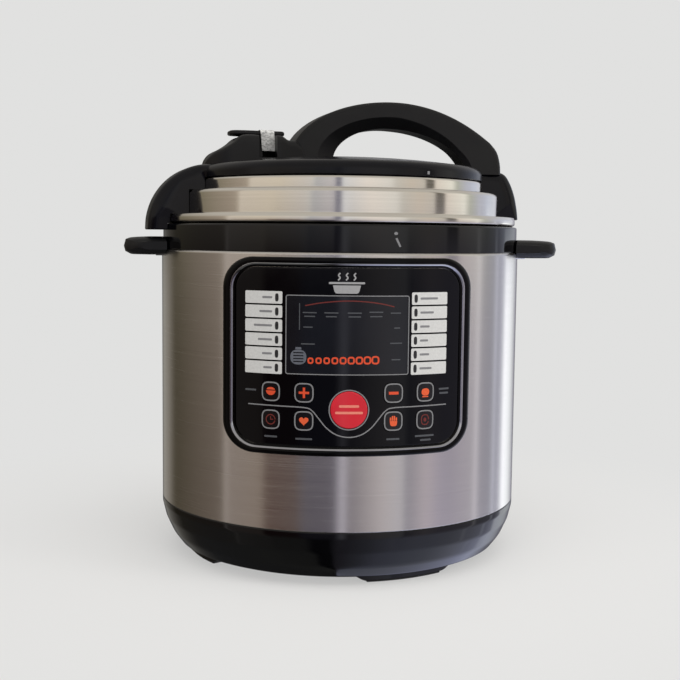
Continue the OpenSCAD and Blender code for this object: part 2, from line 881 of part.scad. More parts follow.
module lid_cover() {
  color(satin_black)
  lid_frame()
  difference() {
    union() {
      rotate_extrude($fn = fine)
        difference() {
          cover_outline();
          translate([0, -cover_wall])
            polygon(concat(
              [[cover_edge - cover_wall, cover_z]],
              arc(shoulder_c, shoulder_z, shoulder_r - cover_wall, 0, 80, 5),
              [for (r = [90:-15:0]) [r, crown(r)]],
              [[0, cover_z - past], [cover_edge - cover_wall, cover_z - past]]
            ));
        }
      left_arm();
      right_arm();
    }
    translate([valve_at, 0, cover_z]) cylinder(r = pipe_r + 0.3, h = tall);
    translate([float_at.x, float_at.y, cover_z]) cylinder(r = float_r + 0.5, h = tall);
    lid_screw_places() translate([0, 0, cover_z]) cylinder(r = lid_screw_r + 0.1, h = tall);
  }
}

module lid_handle() {
  color(satin_black)
  lid_frame()
  difference() {
    union() {
      upright(concat(
        tower_slope,
        oval(arch_mid, arch_top - 43, 78, 43, 160, 90, 12),
        oval(arch_mid, arch_top - 190, 150, 190, 88, 58, 10),
        [[121.4, 296], [123.3, 289], [123.5, arm_top + 0.1]]
      ), arch_w);
      upright(concat(tower_slope, [[-39.7, arm_top + 0.1]]), tower_w);
    }
    upright(concat(
      [[-9, arm_top - past]],
      oval(33, arch_top - 44.3, 42, 25, 180, 90, 10),
      oval(33, arch_top - 57.3, 62.5, 38, 84, 8, 10),
      [[94, arm_top - past]]
    ), tower_w + past);
    translate([0, 0, 0.15]) rotate_extrude($fn = fine) cover_outline();
    translate([valve_at, 0, arm_top]) cylinder(r = well_r, h = tall);
    translate([valve_at - 12, -tower_w, crown(valve_at) + past]) cube([24, tower_w, tall]);
    lid_screw_places() translate([0, 0, arm_top - past]) cylinder(r = lid_screw_r + screw_gap, h = 11.4);
  }
}

module lid_screws() {
  color(steel)
  lid_frame()
  lid_screw_places() {
    translate([0, 0, deck_low - 2.4]) cylinder(r = 3.8, h = 2.4);
    translate([0, 0, deck_low]) cylinder(r = lid_screw_r, h = 291 - deck_low);
  }
}

module exhaust_pipe() {
  color(steel)
  lid_frame()
  translate([valve_at, 0, 0])
  union() {
    revolve([[2, deck_low - 7.4], [pipe_r, deck_low - 7.4], [pipe_r, deck_low - 3.4],
             [9, deck_low - 3.4], [9, deck_low], [pipe_r, deck_low], [pipe_r, pipe_top - 1],
             [pipe_r - 1, pipe_top], [2, pipe_top]]);
    translate([0, 0, deck_top])
      difference() {
        cylinder(r = 8, h = 4, $fn = 6);
        translate([0, 0, -past]) cylinder(r = pipe_r - 0.5, h = 6);
      }
  }
}

module pipe_shield() {
  top = deck_low - 3.5;
  color(bright)
  lid_frame()
  translate([valve_at, 0, 0])
  difference() {
    revolve([[0, top - 11], [10.6, top - 11], [10.6, top], [9.4, top], [9.4, top - 9.8],
             [0, top - 9.8]]);
    for (k = [0:3]) rotate([0, 0, 45 * k]) translate([-20, -1.2, top - 8.5]) cube([40, 2.4, 6]);
  }
}

module exhaust_knob() {
  body_low = 287.4;
  color(satin_black)
  lid_frame()
  translate([valve_at, 0, 0]) {
    revolve([[pipe_r + 1, body_low], [knob_r - 0.8, body_low], [knob_r, body_low + 0.8],
             [knob_r, lever_low], [0, lever_low], [0, pipe_top + 0.5], [pipe_r + 1, pipe_top + 0.5]]);
    translate([0, 0, lever_low])
      linear_extrude(lever_t) round_rect(lever_l, lever_w, 7);
  }
}

module valve_tag() {
  tag_x = [1.5, 11.5];
  tag_t = 0.8;
  lever_top = lever_low + lever_t;
  face = -lever_w / 2 - 0.1;
  color([0.86, 0.86, 0.84])
  lid_frame()
  translate([valve_at, 0, 0]) {
    translate([tag_x[0], face - tag_t, lever_top + 0.1])
      cube([tag_x[1] - tag_x[0], lever_w - 2, tag_t]);
    translate([tag_x[0], face - tag_t, 292])
      cube([tag_x[1] - tag_x[0], tag_t, lever_top + 0.1 + tag_t - 292]);
  }
}

module float_pin() {
  color([0.75, 0.12, 0.1])
  lid_frame()
  translate([float_at.x, float_at.y, 0])
    revolve([[0, float_low], [6.5, float_low], [6.5, float_low + 2.2], [float_r, float_low + 2.2],
             [float_r, crown_top - 4.2], [float_r - 0.7, crown_top - 3.5], [0, crown_top - 3.5]]);
}

module float_seal() {
  color([0.86, 0.86, 0.84])
  lid_frame()
  translate([float_at.x, float_at.y, 0])
    ring(float_r + 0.05, 6.2, float_low + 2.2, float_low + 3.4);
}

base_housing();
bottom_cover();
bottom_screws();
rubber_feet();
steel_shell();
rim_collar();
side_handle_left();
side_handle_right();
handle_screws();
support_posts();
outer_pot();
heating_plate();
plate_bolts();
heating_tube();
sensor_bracket();
sensor_spring();
temperature_sensor();
pressure_switch();
thermal_fuse();
power_board();
board_standoffs();
control_board();
display_module();
wiring();
inlet_socket();
inlet_pins();
cup_bracket();
condensation_cup();
panel_bezel();
panel_sheet();
display_window();
menu_button();
key_upper_1();
key_upper_2();
key_upper_3();
key_upper_4();
key_lower_1();
key_lower_2();
key_lower_3();
key_lower_4();
inner_pot();
support_cap();
sealing_ring();
cap_grommet();
cap_stud();
lid_shell();
lid_cover();
lid_handle();
lid_screws();
exhaust_pipe();
pipe_shield();
exhaust_knob();
valve_tag();
float_pin();
float_seal();
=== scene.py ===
"""Looks of an electric pressure cooker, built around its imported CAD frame.

Shapes are worked out in millimetres in the frame of the CAD part: the pot's axis is +Z and the
control panel faces -Y. They turn to metres when a mesh is made.
"""

from math import asin, ceil, copysign, cos, degrees, dist, pi, radians, sin, sqrt, tan, tau

import bmesh
import bpy
from mathutils import Matrix, Vector


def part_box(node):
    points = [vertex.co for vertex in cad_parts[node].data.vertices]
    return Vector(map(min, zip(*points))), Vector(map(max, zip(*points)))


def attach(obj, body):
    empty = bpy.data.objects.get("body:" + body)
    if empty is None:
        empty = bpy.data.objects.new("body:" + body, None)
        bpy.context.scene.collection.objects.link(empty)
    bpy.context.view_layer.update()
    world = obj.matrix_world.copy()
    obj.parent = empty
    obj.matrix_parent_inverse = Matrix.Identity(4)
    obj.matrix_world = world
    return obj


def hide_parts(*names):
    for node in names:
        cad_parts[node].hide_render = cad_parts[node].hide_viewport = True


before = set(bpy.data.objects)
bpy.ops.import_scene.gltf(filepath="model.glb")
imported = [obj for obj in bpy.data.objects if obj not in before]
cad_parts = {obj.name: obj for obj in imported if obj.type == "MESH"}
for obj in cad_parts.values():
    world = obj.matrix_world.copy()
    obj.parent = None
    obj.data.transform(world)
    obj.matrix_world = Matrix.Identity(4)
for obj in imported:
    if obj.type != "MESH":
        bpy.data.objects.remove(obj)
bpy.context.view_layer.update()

MM = 0.001


# ---- Sizes taken from the frame ----

def box_mm(node):
    """Lowest and highest corner of a CAD node, in millimetres."""
    low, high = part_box(node)
    return low / MM, high / MM


def span_mm(node):
    """Size of a CAD node along each axis."""
    low, high = box_mm(node)
    return high - low


SHELL_LOW, SHELL_HIGH = box_mm("steel_shell")
BODY_R = SHELL_HIGH.x
COLLAR_LOW, COLLAR_HIGH = box_mm("rim_collar")
COLLAR_R, RIM_TOP = COLLAR_HIGH.x, COLLAR_HIGH.z
LID_BOX_LOW, LID_BOX_HIGH = box_mm("lid_shell")
LID_R, LID_LOW, DECK_TOP = LID_BOX_HIGH.x, LID_BOX_LOW.z, LID_BOX_HIGH.z
ARCH_TOP = box_mm("lid_handle")[1].z
FOOT_H = box_mm("base_housing")[0].z
BEZEL_R = -box_mm("panel_bezel")[0].y
SHEET_R = -box_mm("panel_sheet")[0].y
KEY_R = -box_mm("menu_button")[0].y
WINDOW_R = -box_mm("display_window")[0].y
PANEL_MID = sum(corner.z for corner in box_mm("panel_bezel")) / 2

# The lid rests this far short of its locked place
LID_TURN = radians(13)
# Arc lengths on the panel are measured at this radius
PANEL_R = 135


# ---- Outlines ----

def rounded(corners, step=12):
    """Closed outline through (x, y, radius) corners, each rounded to its radius."""
    outline = []
    for i, (x, y, radius) in enumerate(corners):
        here = Vector((x, y))
        back = Vector(corners[i - 1][:2]) - here
        ahead = Vector(corners[(i + 1) % len(corners)][:2]) - here
        half = back.angle(ahead) / 2
        if radius <= 0 or half > pi / 2 - 0.01:
            outline.append((x, y))
            continue
        run = min(radius / tan(half), 0.49 * back.length, 0.49 * ahead.length)
        radius = run * tan(half)
        centre = here + (back.normalized() + ahead.normalized()).normalized() * radius / sin(half)
        first = here + back.normalized() * run - centre
        turn = first.angle_signed(here + ahead.normalized() * run - centre)
        count = max(1, round(abs(degrees(turn)) / step))
        for k in range(count + 1):
            spoke = Matrix.Rotation(-turn * k / count, 2) @ first
            outline.append(tuple(centre + spoke))
    return outline


def rectangle(x_low, x_high, y_low, y_high, radius, step=15):
    return rounded([(x_low, y_low, radius), (x_high, y_low, radius),
                    (x_high, y_high, radius), (x_low, y_high, radius)], step)


def superellipse(width, height, power, count=48, x=0, y=0):
    """Rounded square outline: power 2 is an ellipse, and a higher power is squarer."""
    def bulge(size, part):
        return size / 2 * copysign(abs(part) ** (2 / power), part)

    return [(x + bulge(width, c), y + bulge(height, s)) for c, s in circle(0, 0, 1, count)]


def circle(x, y, r, count):
    return [(x + r * cos(tau * k / count), y + r * sin(tau * k / count)) for k in range(count)]


def oval(x, y, rx, ry, a, b, count):
    """Points on part of an ellipse, from angle a to angle b in degrees."""
    angles = [radians(a + (b - a) * k / count) for k in range(count + 1)]
    return [(x + rx * cos(t), y + ry * sin(t)) for t in angles]


def sector(outer, inner, a, b, count):
    """Part of a flat ring about the pot's axis, from angle a to angle b in degrees."""
    return oval(0, 0, outer, outer, a, b, count) + oval(0, 0, inner, inner, b, a, count)


def leg(a, b, count):
    """Points spaced evenly from a towards b, without b itself."""
    return [(a[0] + (b[0] - a[0]) * k / count, a[1] + (b[1] - a[1]) * k / count)
            for k in range(count)]


def at_height(outline, z):
    return [(x, y, z) for x, y in outline]


def even_line(points, count):
    """Points spaced evenly along the straight legs between the given ones."""
    p = [Vector(q) for q in points]
    length = [0]
    for a, b in zip(p, p[1:]):
        length.append(length[-1] + (b - a).length)
    spaced, i = [], 0
    for k in range(count + 1):
        want = length[-1] * k / count
        while i < len(length) - 2 and length[i + 1] < want:
            i += 1
        t = (want - length[i]) / max(length[i + 1] - length[i], 1e-9)
        spaced.append(tuple(p[i].lerp(p[i + 1], min(t, 1))))
    return spaced


def smooth_curve(points, count):
    """Points spaced evenly along a smooth curve through the given ones."""
    p = [Vector(q) for q in points]
    p = [2 * p[0] - p[1]] + p + [2 * p[-1] - p[-2]]
    fine = []
    for i in range(1, len(p) - 2):
        for k in range(24):
            t = k / 24
            fine.append(0.5 * ((2 * p[i]) + (p[i + 1] - p[i - 1]) * t
                               + (2 * p[i - 1] - 5 * p[i] + 4 * p[i + 1] - p[i + 2]) * t * t
                               + (3 * p[i] - p[i - 1] - 3 * p[i + 1] + p[i + 2]) * t ** 3))
    return even_line(fine + [p[-2]], count)


def inset(outline, amount):
    """A closed outline moved inward by an amount."""
    area = sum(a[0] * b[1] - b[0] * a[1] for a, b in zip(outline, outline[1:] + outline[:1]))
    side = 1 if area > 0 else -1
    moved = []
    for i, point in enumerate(outline):
        here = Vector(point)
        back = (here - Vector(outline[i - 1])).normalized()
        ahead = (Vector(outline[(i + 1) % len(outline)]) - here).normalized()
        normal = Vector((-(back.y + ahead.y), back.x + ahead.x)).normalized() * side
        lean = max(0.4, abs(normal.dot(Vector((-ahead.y, ahead.x)))))
        moved.append(tuple(here + normal * amount / lean))
    return moved


# ---- Solids: each returns (points, faces) ----

def lathe(profile, segments=256):
    """A closed (radius, height) outline turned about the pot's axis."""
    points, rows = [], []
    for r, z in profile:
        if r < 1e-6:
            rows.append([len(points)] * segments)
            points.append((0, 0, z))
        else:
            rows.append([len(points) + k for k in range(segments)])
            points += at_height(circle(0, 0, r, segments), z)
    faces = []
    for here, there in zip(rows, rows[1:] + rows[:1]):
        for k in range(segments):
            j = (k + 1) % segments
            face = list(dict.fromkeys([here[k], here[j], there[j], there[k]]))
            if len(face) > 2:
                faces.append(face)
    return points, faces


def loft(rings, loop=False):
    """A skin through closed rings of as many points each, closed by end caps or into a loop."""
    count = len(rings[0])
    points = [p for ring in rings for p in ring]
    faces = []
    for i in range(len(rings) if loop else len(rings) - 1):
        a, b = i * count, (i + 1) % len(rings) * count
        faces += [[a + k, a + (k + 1) % count, b + (k + 1) % count, b + k] for k in range(count)]
    if not loop:
        faces.append(list(range(count)))
        faces.append([(len(rings) - 1) * count + k for k in range(count)])
    return points, faces


def pillow(outline, low, high, edge, step=3, low_edge=0):
    """A slab on a closed outline, from low to high, with its edges rounded over."""
    quarter = [radians(90 * k / step) for k in range(step + 1)]
    rings = [at_height(inset(outline, low_edge * (1 - sin(t))), low + low_edge * (1 - cos(t)))
             for t in quarter[:-1] if low_edge]
    rings.append(at_height(outline, low + low_edge))
    rings += [at_height(inset(outline, edge * (1 - cos(t))), high - edge + edge * sin(t))
              for t in quarter if edge]
    if not edge:
        rings.append(at_height(outline, high))
    return loft(rings)


def band_loft(outer, inner, sections, half_width):
    """A bar whose section lies between an outer and an inner (x, z) line.

    Each station has a section, as (y share, height share) points, and a half width.
    """
    return loft([[(xi + (xo - xi) * h, y * w, zi + (zo - zi) * h) for y, h in section]
                 for (xo, zo), (xi, zi), section, w in zip(outer, inner, sections, half_width)])


def join_shapes(shapes):
    points, faces = [], []
    for more_points, more_faces in shapes:
        start = len(points)
        points += more_points
        faces += [[i + start for i in face] for face in more_faces]
    return points, faces


def block(x, y, z, size):
    """A box centred on a point, for cutting."""
    dx, dy, dz = (side / 2 for side in size)
    return pillow(rectangle(x - dx, x + dx, y - dy, y + dy, 0), z - dz, z + dz, 0)


def post(x, y, r, low, high, count=64):
    """An upright cylinder, for cutting."""
    return pillow(circle(x, y, r, count), low, high, 0)


# ---- Pieces ----

def new_object(name, shape):
    points, faces = shape
    mesh = bpy.data.meshes.new(name)
    mesh.from_pydata([tuple(c * MM for c in p) for p in points], [], faces)
    obj = bpy.data.objects.new(name, mesh)
    bpy.context.scene.collection.objects.link(obj)
    tidy(obj)
    return obj


def tidy(obj, sharp=40):
    """Closes seams, points the normals outward and smooths all but the sharp edges."""
    mesh = bmesh.new()
    mesh.from_mesh(obj.data)
    bmesh.ops.remove_doubles(mesh, verts=mesh.verts, dist=1e-7)
    bmesh.ops.dissolve_degenerate(mesh, dist=1e-7, edges=mesh.edges)
    bmesh.ops.recalc_face_normals(mesh, faces=mesh.faces)
    for face in mesh.faces:
        face.smooth = True
    for edge in mesh.edges:
        edge.smooth = edge.calc_face_angle(0) < radians(sharp)
    mesh.to_mesh(obj.data)
    mesh.free()


def apply_modifiers(obj):
    graph = bpy.context.evaluated_depsgraph_get()
    mesh = bpy.data.meshes.new_from_object(obj.evaluated_get(graph))
    obj.modifiers.clear()
    obj.data = mesh


def combine(obj, other, operation):
    """Cuts other out of obj, or joins it on, and removes other."""
    change = obj.modifiers.new("combine", "BOOLEAN")
    change.operation = operation
    change.solver = "EXACT"
    change.object = other
    bpy.context.view_layer.update()
    apply_modifiers(obj)
    bpy.data.objects.remove(other)
    tidy(obj)


def cut(obj, shape):
    combine(obj, new_object("cutter", shape), "DIFFERENCE")


def soften(obj, width, segments, angle):
    """Rounds every edge that is sharper than an angle."""
    bevel = obj.modifiers.new("round", "BEVEL")
    bevel.width = width * MM
    bevel.segments = segments
    bevel.limit_method = "ANGLE"
    bevel.angle_limit = radians(angle)
    apply_modifiers(obj)
    tidy(obj, 50)


def piece(obj, material, body, replaces=(), turn=0.0):
    """Gives a finished mesh its material, and makes it ride on a body."""
    if turn:
        obj.data.transform(Matrix.Rotation(turn, 4, "Z"))
    obj.data.materials.clear()
    obj.data.materials.append(material)
    weighted = obj.modifiers.new("normals", "WEIGHTED_NORMAL")
    weighted.keep_sharp = True
    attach(obj, body)
    if replaces:
        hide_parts(*replaces)


# ---- Materials ----

def add_node(tree, kind, inputs=None, **settings):
    """Adds a shader node, and gives its inputs their values or links."""
    node = tree.nodes.new("ShaderNode" + kind)
    for name, value in settings.items():
        setattr(node, name, value)
    for socket, value in (inputs or {}).items():
        if isinstance(value, bpy.types.NodeSocket):
            tree.links.new(value, node.inputs[socket])
        else:
            node.inputs[socket].default_value = value
    return node


def colour_ramp(tree, factor, stops):
    """Colours along a factor, from (place, red, green, blue) stops."""
    node = add_node(tree, "ValToRGB", {"Fac": factor})
    elements = node.color_ramp.elements
    elements.remove(elements[-1])
    elements[0].position = stops[0][0]
    elements[0].color = (*stops[0][1:], 1)
    for place, *colour in stops[1:]:
        elements.new(place).color = (*colour, 1)
    return node.outputs["Color"]


class Surface:
    """A Principled material whose detail follows the object's own coordinates."""

    def __init__(self, name, colour, roughness, metallic=0.0, **sockets):
        self.material = bpy.data.materials.new(name)
        self.material.use_nodes = True
        self.tree = self.material.node_tree
        self.shader = self.tree.nodes["Principled BSDF"]
        self.coords = self.add("TexCoord").outputs["Object"]
        self.colour = colour
        values = {"base_color": (*colour, 1), "roughness": roughness, "metallic": metallic, **sockets}
        for socket, value in values.items():
            socket = socket.replace("_", " ").title().replace("Ior", "IOR")
            self.shader.inputs[socket].default_value = value

    def add(self, kind, inputs=None, **settings):
        return add_node(self.tree, kind, inputs, **settings)

    def feed(self, socket, output):
        self.tree.links.new(output, self.shader.inputs[socket])

    def place(self, stretch=(1, 1, 1)):
        return self.add("Mapping", {"Vector": self.coords, "Scale": stretch}).outputs["Vector"]

    def noise(self, scale, stretch=(1, 1, 1), detail=3.0, roughness=0.55):
        return self.add("TexNoise", {"Vector": self.place(stretch), "Scale": scale, "Detail": detail,
                                     "Roughness": roughness}).outputs["Fac"]

    def cells(self, scale):
        return self.add("TexVoronoi", {"Vector": self.place(), "Scale": scale}).outputs["Distance"]

    def spread(self, factor, low, high, start=0.3, end=0.7):
        """Maps a factor from start..end to low..high."""
        return self.add("MapRange", {"Value": factor, "From Min": start, "From Max": end,
                                     "To Min": low, "To Max": high}).outputs["Result"]

    def tint(self, factor, share, start=0.3, end=0.7, other=None):
        """Varies the colour by a share, or towards another colour, with a factor."""
        darker = [c * (1 - share) for c in self.colour]
        lighter = other or [min(1, c * (1 + share)) for c in self.colour]
        self.feed("Base Color", colour_ramp(self.tree, factor, [(start, *darker), (end, *lighter)]))

    def rough(self, factor, low, high):
        self.feed("Roughness", self.spread(factor, low, high))

    def bump(self, factor, height):
        """Adds relief, with its height in millimetres."""
        bump = self.add("Bump", {"Height": factor, "Strength": 1, "Distance": height * MM})
        self.feed("Normal", bump.outputs["Normal"])


def plastic(name, colour, roughness, grain=1400, relief=0.012, vary=0.05, specular=0.5, **sockets):
    """Moulded plastic: a fine grain, slow colour drift and faint handling marks."""
    s = Surface(name, colour, roughness, specular_ior_level=specular, **sockets)
    s.tint(s.noise(30), 0.12)
    s.rough(s.noise(55, detail=6), roughness - vary, roughness + vary)
    s.bump(s.noise(grain, detail=2), relief)
    return s.material


def turned_metal(name, colour, roughness, anisotropic, lines, relief, drift):
    """Metal with fine lines that run round the axis, as left by brushing or turning."""
    s = Surface(name, colour, roughness, metallic=1.0, anisotropic=anisotropic,
                anisotropic_rotation=0.25)
    s.feed("Tangent", s.add("Tangent", direction_type="RADIAL", axis="Z").outputs["Tangent"])
    fine = s.noise(1, (5, 5, lines), detail=4, roughness=0.7)
    s.tint(s.noise(1, (4, 4, lines / 2), detail=5), drift)
    s.rough(fine, roughness * 0.8, roughness * 1.25)
    s.bump(fine, relief)
    return s.material


def plain_metal(name, colour, roughness, relief=0.01):
    s = Surface(name, colour, roughness, metallic=1.0)
    s.tint(s.noise(60, detail=5), 0.08)
    s.rough(s.noise(140, detail=5), roughness * 0.7, roughness * 1.3)
    s.bump(s.noise(900), relief)
    return s.material


def ink(name, colour, roughness=0.45):
    """Screen print: faint specks where the ink is thin."""
    s = Surface(name, colour, roughness)
    s.tint(s.noise(900, detail=4), 0.07)
    s.rough(s.noise(600), roughness - 0.06, roughness + 0.08)
    s.bump(s.noise(2500), 0.003)
    return s.material


def clear_plastic(name, colour):
    s = Surface(name, colour, 0.08, transmission_weight=0.85, ior=1.49)
    s.tint(s.noise(40), 0.04)
    s.rough(s.noise(80, detail=5), 0.05, 0.16)
    s.bump(s.noise(300), 0.01)
    return s.material


def paper(name, colour):
    """Printed tag stock: fibres and blurred grey marks."""
    s = Surface(name, colour, 0.85)
    s.tint(s.noise(420, (1, 1, 1.6), detail=5, roughness=0.7), 0.55, 0.4, 0.56, colour)
    s.rough(s.noise(800), 0.75, 0.95)
    s.bump(s.noise(1500, detail=5), 0.03)
    return s.material


def circuit_board(name, colour):
    s = Surface(name, colour, 0.35)
    s.tint(s.cells(320), 0.3, 0.1, 0.5)
    s.rough(s.noise(500), 0.25, 0.5)
    s.bump(s.cells(320), 0.03)
    return s.material


GLOSS_BLACK = plastic("gloss_black", (0.0015, 0.0015, 0.002), 0.05, 500, 0.001, 0.02, 0.48)
SATIN_BLACK = plastic("satin_black", (0.005, 0.005, 0.0055), 0.38, 1800, 0.015, 0.05, 0.34)
COVER_BLACK = plastic("cover_black", (0.002, 0.002, 0.0035), 0.20, 700, 0.004, 0.05, 0.28)
BEZEL_BLACK = plastic("bezel_black", (0.001, 0.001, 0.0012), 0.14, 700, 0.002, 0.04, 0.16)
KEY_BLACK = plastic("key_black", (0.004, 0.004, 0.005), 0.18, 700, 0.003, 0.04)
PANEL_GLOSS = plastic("panel_gloss", (0.001, 0.0012, 0.002), 0.09, 300, 0.001, 0.03, 0.3)
DISPLAY_DARK = plastic("display_dark", (0.006, 0.007, 0.010), 0.12, 300, 0.001, 0.04)
RED_BUTTON = plastic("red_button", (0.62, 0.012, 0.026), 0.22, 900, 0.004, 0.04, coat_weight=0.3,
                     coat_roughness=0.1)
BRUSHED_STEEL = turned_metal("brushed_steel", (0.74, 0.71, 0.68), 0.22, 0.8, 5200, 0.0007, 0.02)
LID_METAL = turned_metal("lid_metal", (0.86, 0.82, 0.75), 0.12, 0.35, 1800, 0.003, 0.03)
SPUN_ALUMINIUM = turned_metal("spun_aluminium", (0.72, 0.71, 0.69), 0.3, 0.4, 1500, 0.006, 0.06)
POT_STEEL = turned_metal("pot_steel", (0.66, 0.65, 0.63), 0.2, 0.5, 2200, 0.004, 0.05)
CAST_METAL = plain_metal("cast_metal", (0.5, 0.5, 0.51), 0.5, 0.05)
TUBE_METAL = plain_metal("tube_metal", (0.33, 0.31, 0.28), 0.42, 0.02)
TRIM_METAL = plain_metal("trim_metal", (0.48, 0.48, 0.51), 0.12, 0.002)
ZINC_STEEL = plain_metal("zinc_steel", (0.62, 0.61, 0.58), 0.35)
BRASS = plain_metal("brass", (0.72, 0.6, 0.32), 0.3)
RUBBER = plastic("rubber", (0.018, 0.018, 0.018), 0.75, 900, 0.05, 0.08)
SILICONE = plastic("silicone", (0.72, 0.72, 0.69), 0.5, 700, 0.02, 0.08, subsurface_weight=0.1)
RED_SILICONE = plastic("red_silicone", (0.5, 0.05, 0.04), 0.5, 700, 0.02, 0.08)
LIGHT_PLASTIC = plastic("light_plastic", (0.7, 0.67, 0.57), 0.5)
WIRE_COVER = plastic("wire_cover", (0.4, 0.02, 0.015), 0.4, 700)
BOARD_GREEN = circuit_board("board_green", (0.02, 0.12, 0.05))
CLEAR_CUP = clear_plastic("clear_cup", (0.86, 0.89, 0.9))
PAPER = paper("paper", (0.74, 0.74, 0.72))
WHITE_INK = ink("white_ink", (0.66, 0.66, 0.65))
EMBLEM_INK = ink("emblem_ink", (0.36, 0.36, 0.37))
GREY_INK = ink("grey_ink", (0.23, 0.23, 0.24))
POT_INK = ink("pot_ink", (0.12, 0.13, 0.16))
DIM_INK = ink("dim_ink", (0.075, 0.08, 0.09))
DARK_INK = ink("dark_ink", (0.02, 0.02, 0.022), 0.3)
RED_INK = ink("red_ink", (0.75, 0.075, 0.02), 0.3)
ORANGE_INK = ink("orange_ink", (0.80, 0.11, 0.03), 0.3)
DIM_RED_INK = ink("dim_red_ink", (0.16, 0.02, 0.015), 0.3)
PINK_INK = ink("pink_ink", (0.85, 0.25, 0.18), 0.3)

CAD_FINISHES = {
    SATIN_BLACK: ["cup_bracket", "inlet_socket"],
    SPUN_ALUMINIUM: ["outer_pot", "support_cap", "pipe_shield"],
    POT_STEEL: ["inner_pot"],
    CAST_METAL: ["heating_plate", "temperature_sensor"],
    TUBE_METAL: ["heating_tube"],
    ZINC_STEEL: ["bottom_cover", "bottom_screws", "handle_screws", "support_posts", "plate_bolts",
                 "sensor_bracket", "sensor_spring", "cap_stud", "lid_screws", "exhaust_pipe"],
    BRASS: ["inlet_pins"],
    SILICONE: ["sealing_ring", "float_seal"],
    RED_SILICONE: ["cap_grommet", "float_pin"],
    LIGHT_PLASTIC: ["pressure_switch", "thermal_fuse", "board_standoffs"],
    BOARD_GREEN: ["power_board", "control_board"],
    DISPLAY_DARK: ["display_module"],
    WIRE_COVER: ["wiring"],
}


def finish_cad_nodes():
    for material, nodes in CAD_FINISHES.items():
        for node in nodes:
            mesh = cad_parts[node].data
            mesh.materials.clear()
            mesh.materials.append(material)


# ---- Body ----

def base_bowl():
    """Glossy black bowl under the shell, with the opening for the power inlet at the back."""
    high = box_mm("base_housing")[1]
    inlet_low, inlet_high = box_mm("inlet_socket")
    edge = SHELL_LOW.z
    profile = rounded([
        (84, FOOT_H + 3.4, 0), (84, FOOT_H, 1), (113, FOOT_H, 1.5), (118.2, FOOT_H + 1.9, 1.5),
        (119.2, FOOT_H + 2.6, 1), (124.6, edge - 25, 20), (129.6, edge - 14, 14),
        (high.x, edge - 4, 8), (high.x, edge, 0.9), (high.x - 1.2, edge, 0.2),
        (high.x - 1.2, high.z, 0.5), (high.x - 4, high.z, 0.5), (high.x - 4, edge - 6, 8),
        (high.x - 6, edge - 14, 12), (120.6, edge - 25, 14), (116, FOOT_H + 5.4, 3),
        (95, FOOT_H + 4.6, 1),
    ], 6)
    bowl = new_object("base_bowl", lathe(profile))
    centre = (inlet_low + inlet_high) / 2
    size = (inlet_high.x - inlet_low.x + 0.6, 24, inlet_high.z - inlet_low.z + 0.6)
    cut(bowl, block(0, high.x, centre.z, size))
    piece(bowl, GLOSS_BLACK, "root", ["base_housing"])


def feet():
    """Four feet: a boss with sloped ends under the bowl, and a rubber pad under each boss."""
    root = FOOT_H + 2.2
    level_half, slope = 14.5, 6.5
    bosses, pads = [], []
    for middle in (22, 112, 202, 292):
        rings = []
        for j in range(37):
            turn = -21 + 42 * j / 36
            climb = min(1, max(0, (abs(turn) - level_half) / slope))
            low = 1.1 + (root - 1.3) * climb * climb * (3 - 2 * climb)
            a = radians(middle + turn)
            section = [(97, root), (97, low + 0.1), (112.6, low),
                       (114.2, low + 0.1 + 0.9 * (1 - climb)), (114.6, root)]
            rings.append([(r * sin(a), -r * cos(a), z) for r, z in section])
        bosses.append(loft(rings))
        pad = sector(112.4, 98, middle - 90 - level_half, middle - 90 + level_half, 24)
        pads.append(pillow(pad, 0, 1.4, 0, 3, 0.5))
    piece(new_object("foot_bosses", join_shapes(bosses)), GLOSS_BLACK, "root")
    piece(new_object("foot_pads", join_shapes(pads)), RUBBER, "root", ["rubber_feet"])


def shell_skin():
    """Brushed steel wall, folded inward at the top and hemmed at the bottom."""
    top, low = SHELL_HIGH.z, SHELL_LOW.z
    lip = BODY_R - 3.9
    profile = rounded([
        (BODY_R - 0.4, low, 0.2), (BODY_R, low + 0.6, 0.4), (BODY_R, top, 2.2), (lip, top, 0.2),
        (lip, top - 0.8, 0.2), (BODY_R - 0.8, top - 0.8, 0.5), (BODY_R - 0.8, low, 0.1),
    ], 15)
    shell = new_object("shell_skin", lathe(profile, 360))
    board_low, board_high = box_mm("control_board")
    cut(shell, block(0, -BODY_R, (board_low.z + board_high.z) / 2, (132, 40, 110)))
    piece(shell, BRUSHED_STEEL, "root", ["steel_shell"])


def collar():
    """Glossy black rim ring with its gutter and the small lock marks on its front."""
    low = COLLAR_LOW.z
    shell_top = SHELL_HIGH.z
    tub = 114.2
    profile = rounded([
        (tub + 0.8, shell_top, 0.3), (125.4, shell_top, 0.3), (125.4, low, 0.6), (127.9, low, 0.6),
        (127.9, shell_top, 0.2), (COLLAR_R, shell_top, 0.5), (COLLAR_R, RIM_TOP, 1.6),
        (COLLAR_R - 2.8, RIM_TOP, 0.6), (COLLAR_R - 2.8, shell_top + 2.4, 1.2),
        (tub + 2.8, shell_top + 2.4, 1), (tub + 2.8, shell_top + 8, 0.4),
        (tub + 0.8, shell_top + 8, 0.4),
    ], 15)
    piece(new_object("collar_ring", lathe(profile, 360)), GLOSS_BLACK, "root",
          ["rim_collar"])
    marks = [
        superellipse(2.6, 2.0, 2, 20, 30.4, RIM_TOP - 5.6),
        [(30.0, RIM_TOP - 8.8), (31.4, RIM_TOP - 8.4), (34.2, RIM_TOP - 14.0), (33.0, RIM_TOP - 14.4)],
    ]
    flat_print("collar_marks", marks, 0.1, GREY_INK, (COLLAR_R - 0.02, "panel_gloss", "root"))


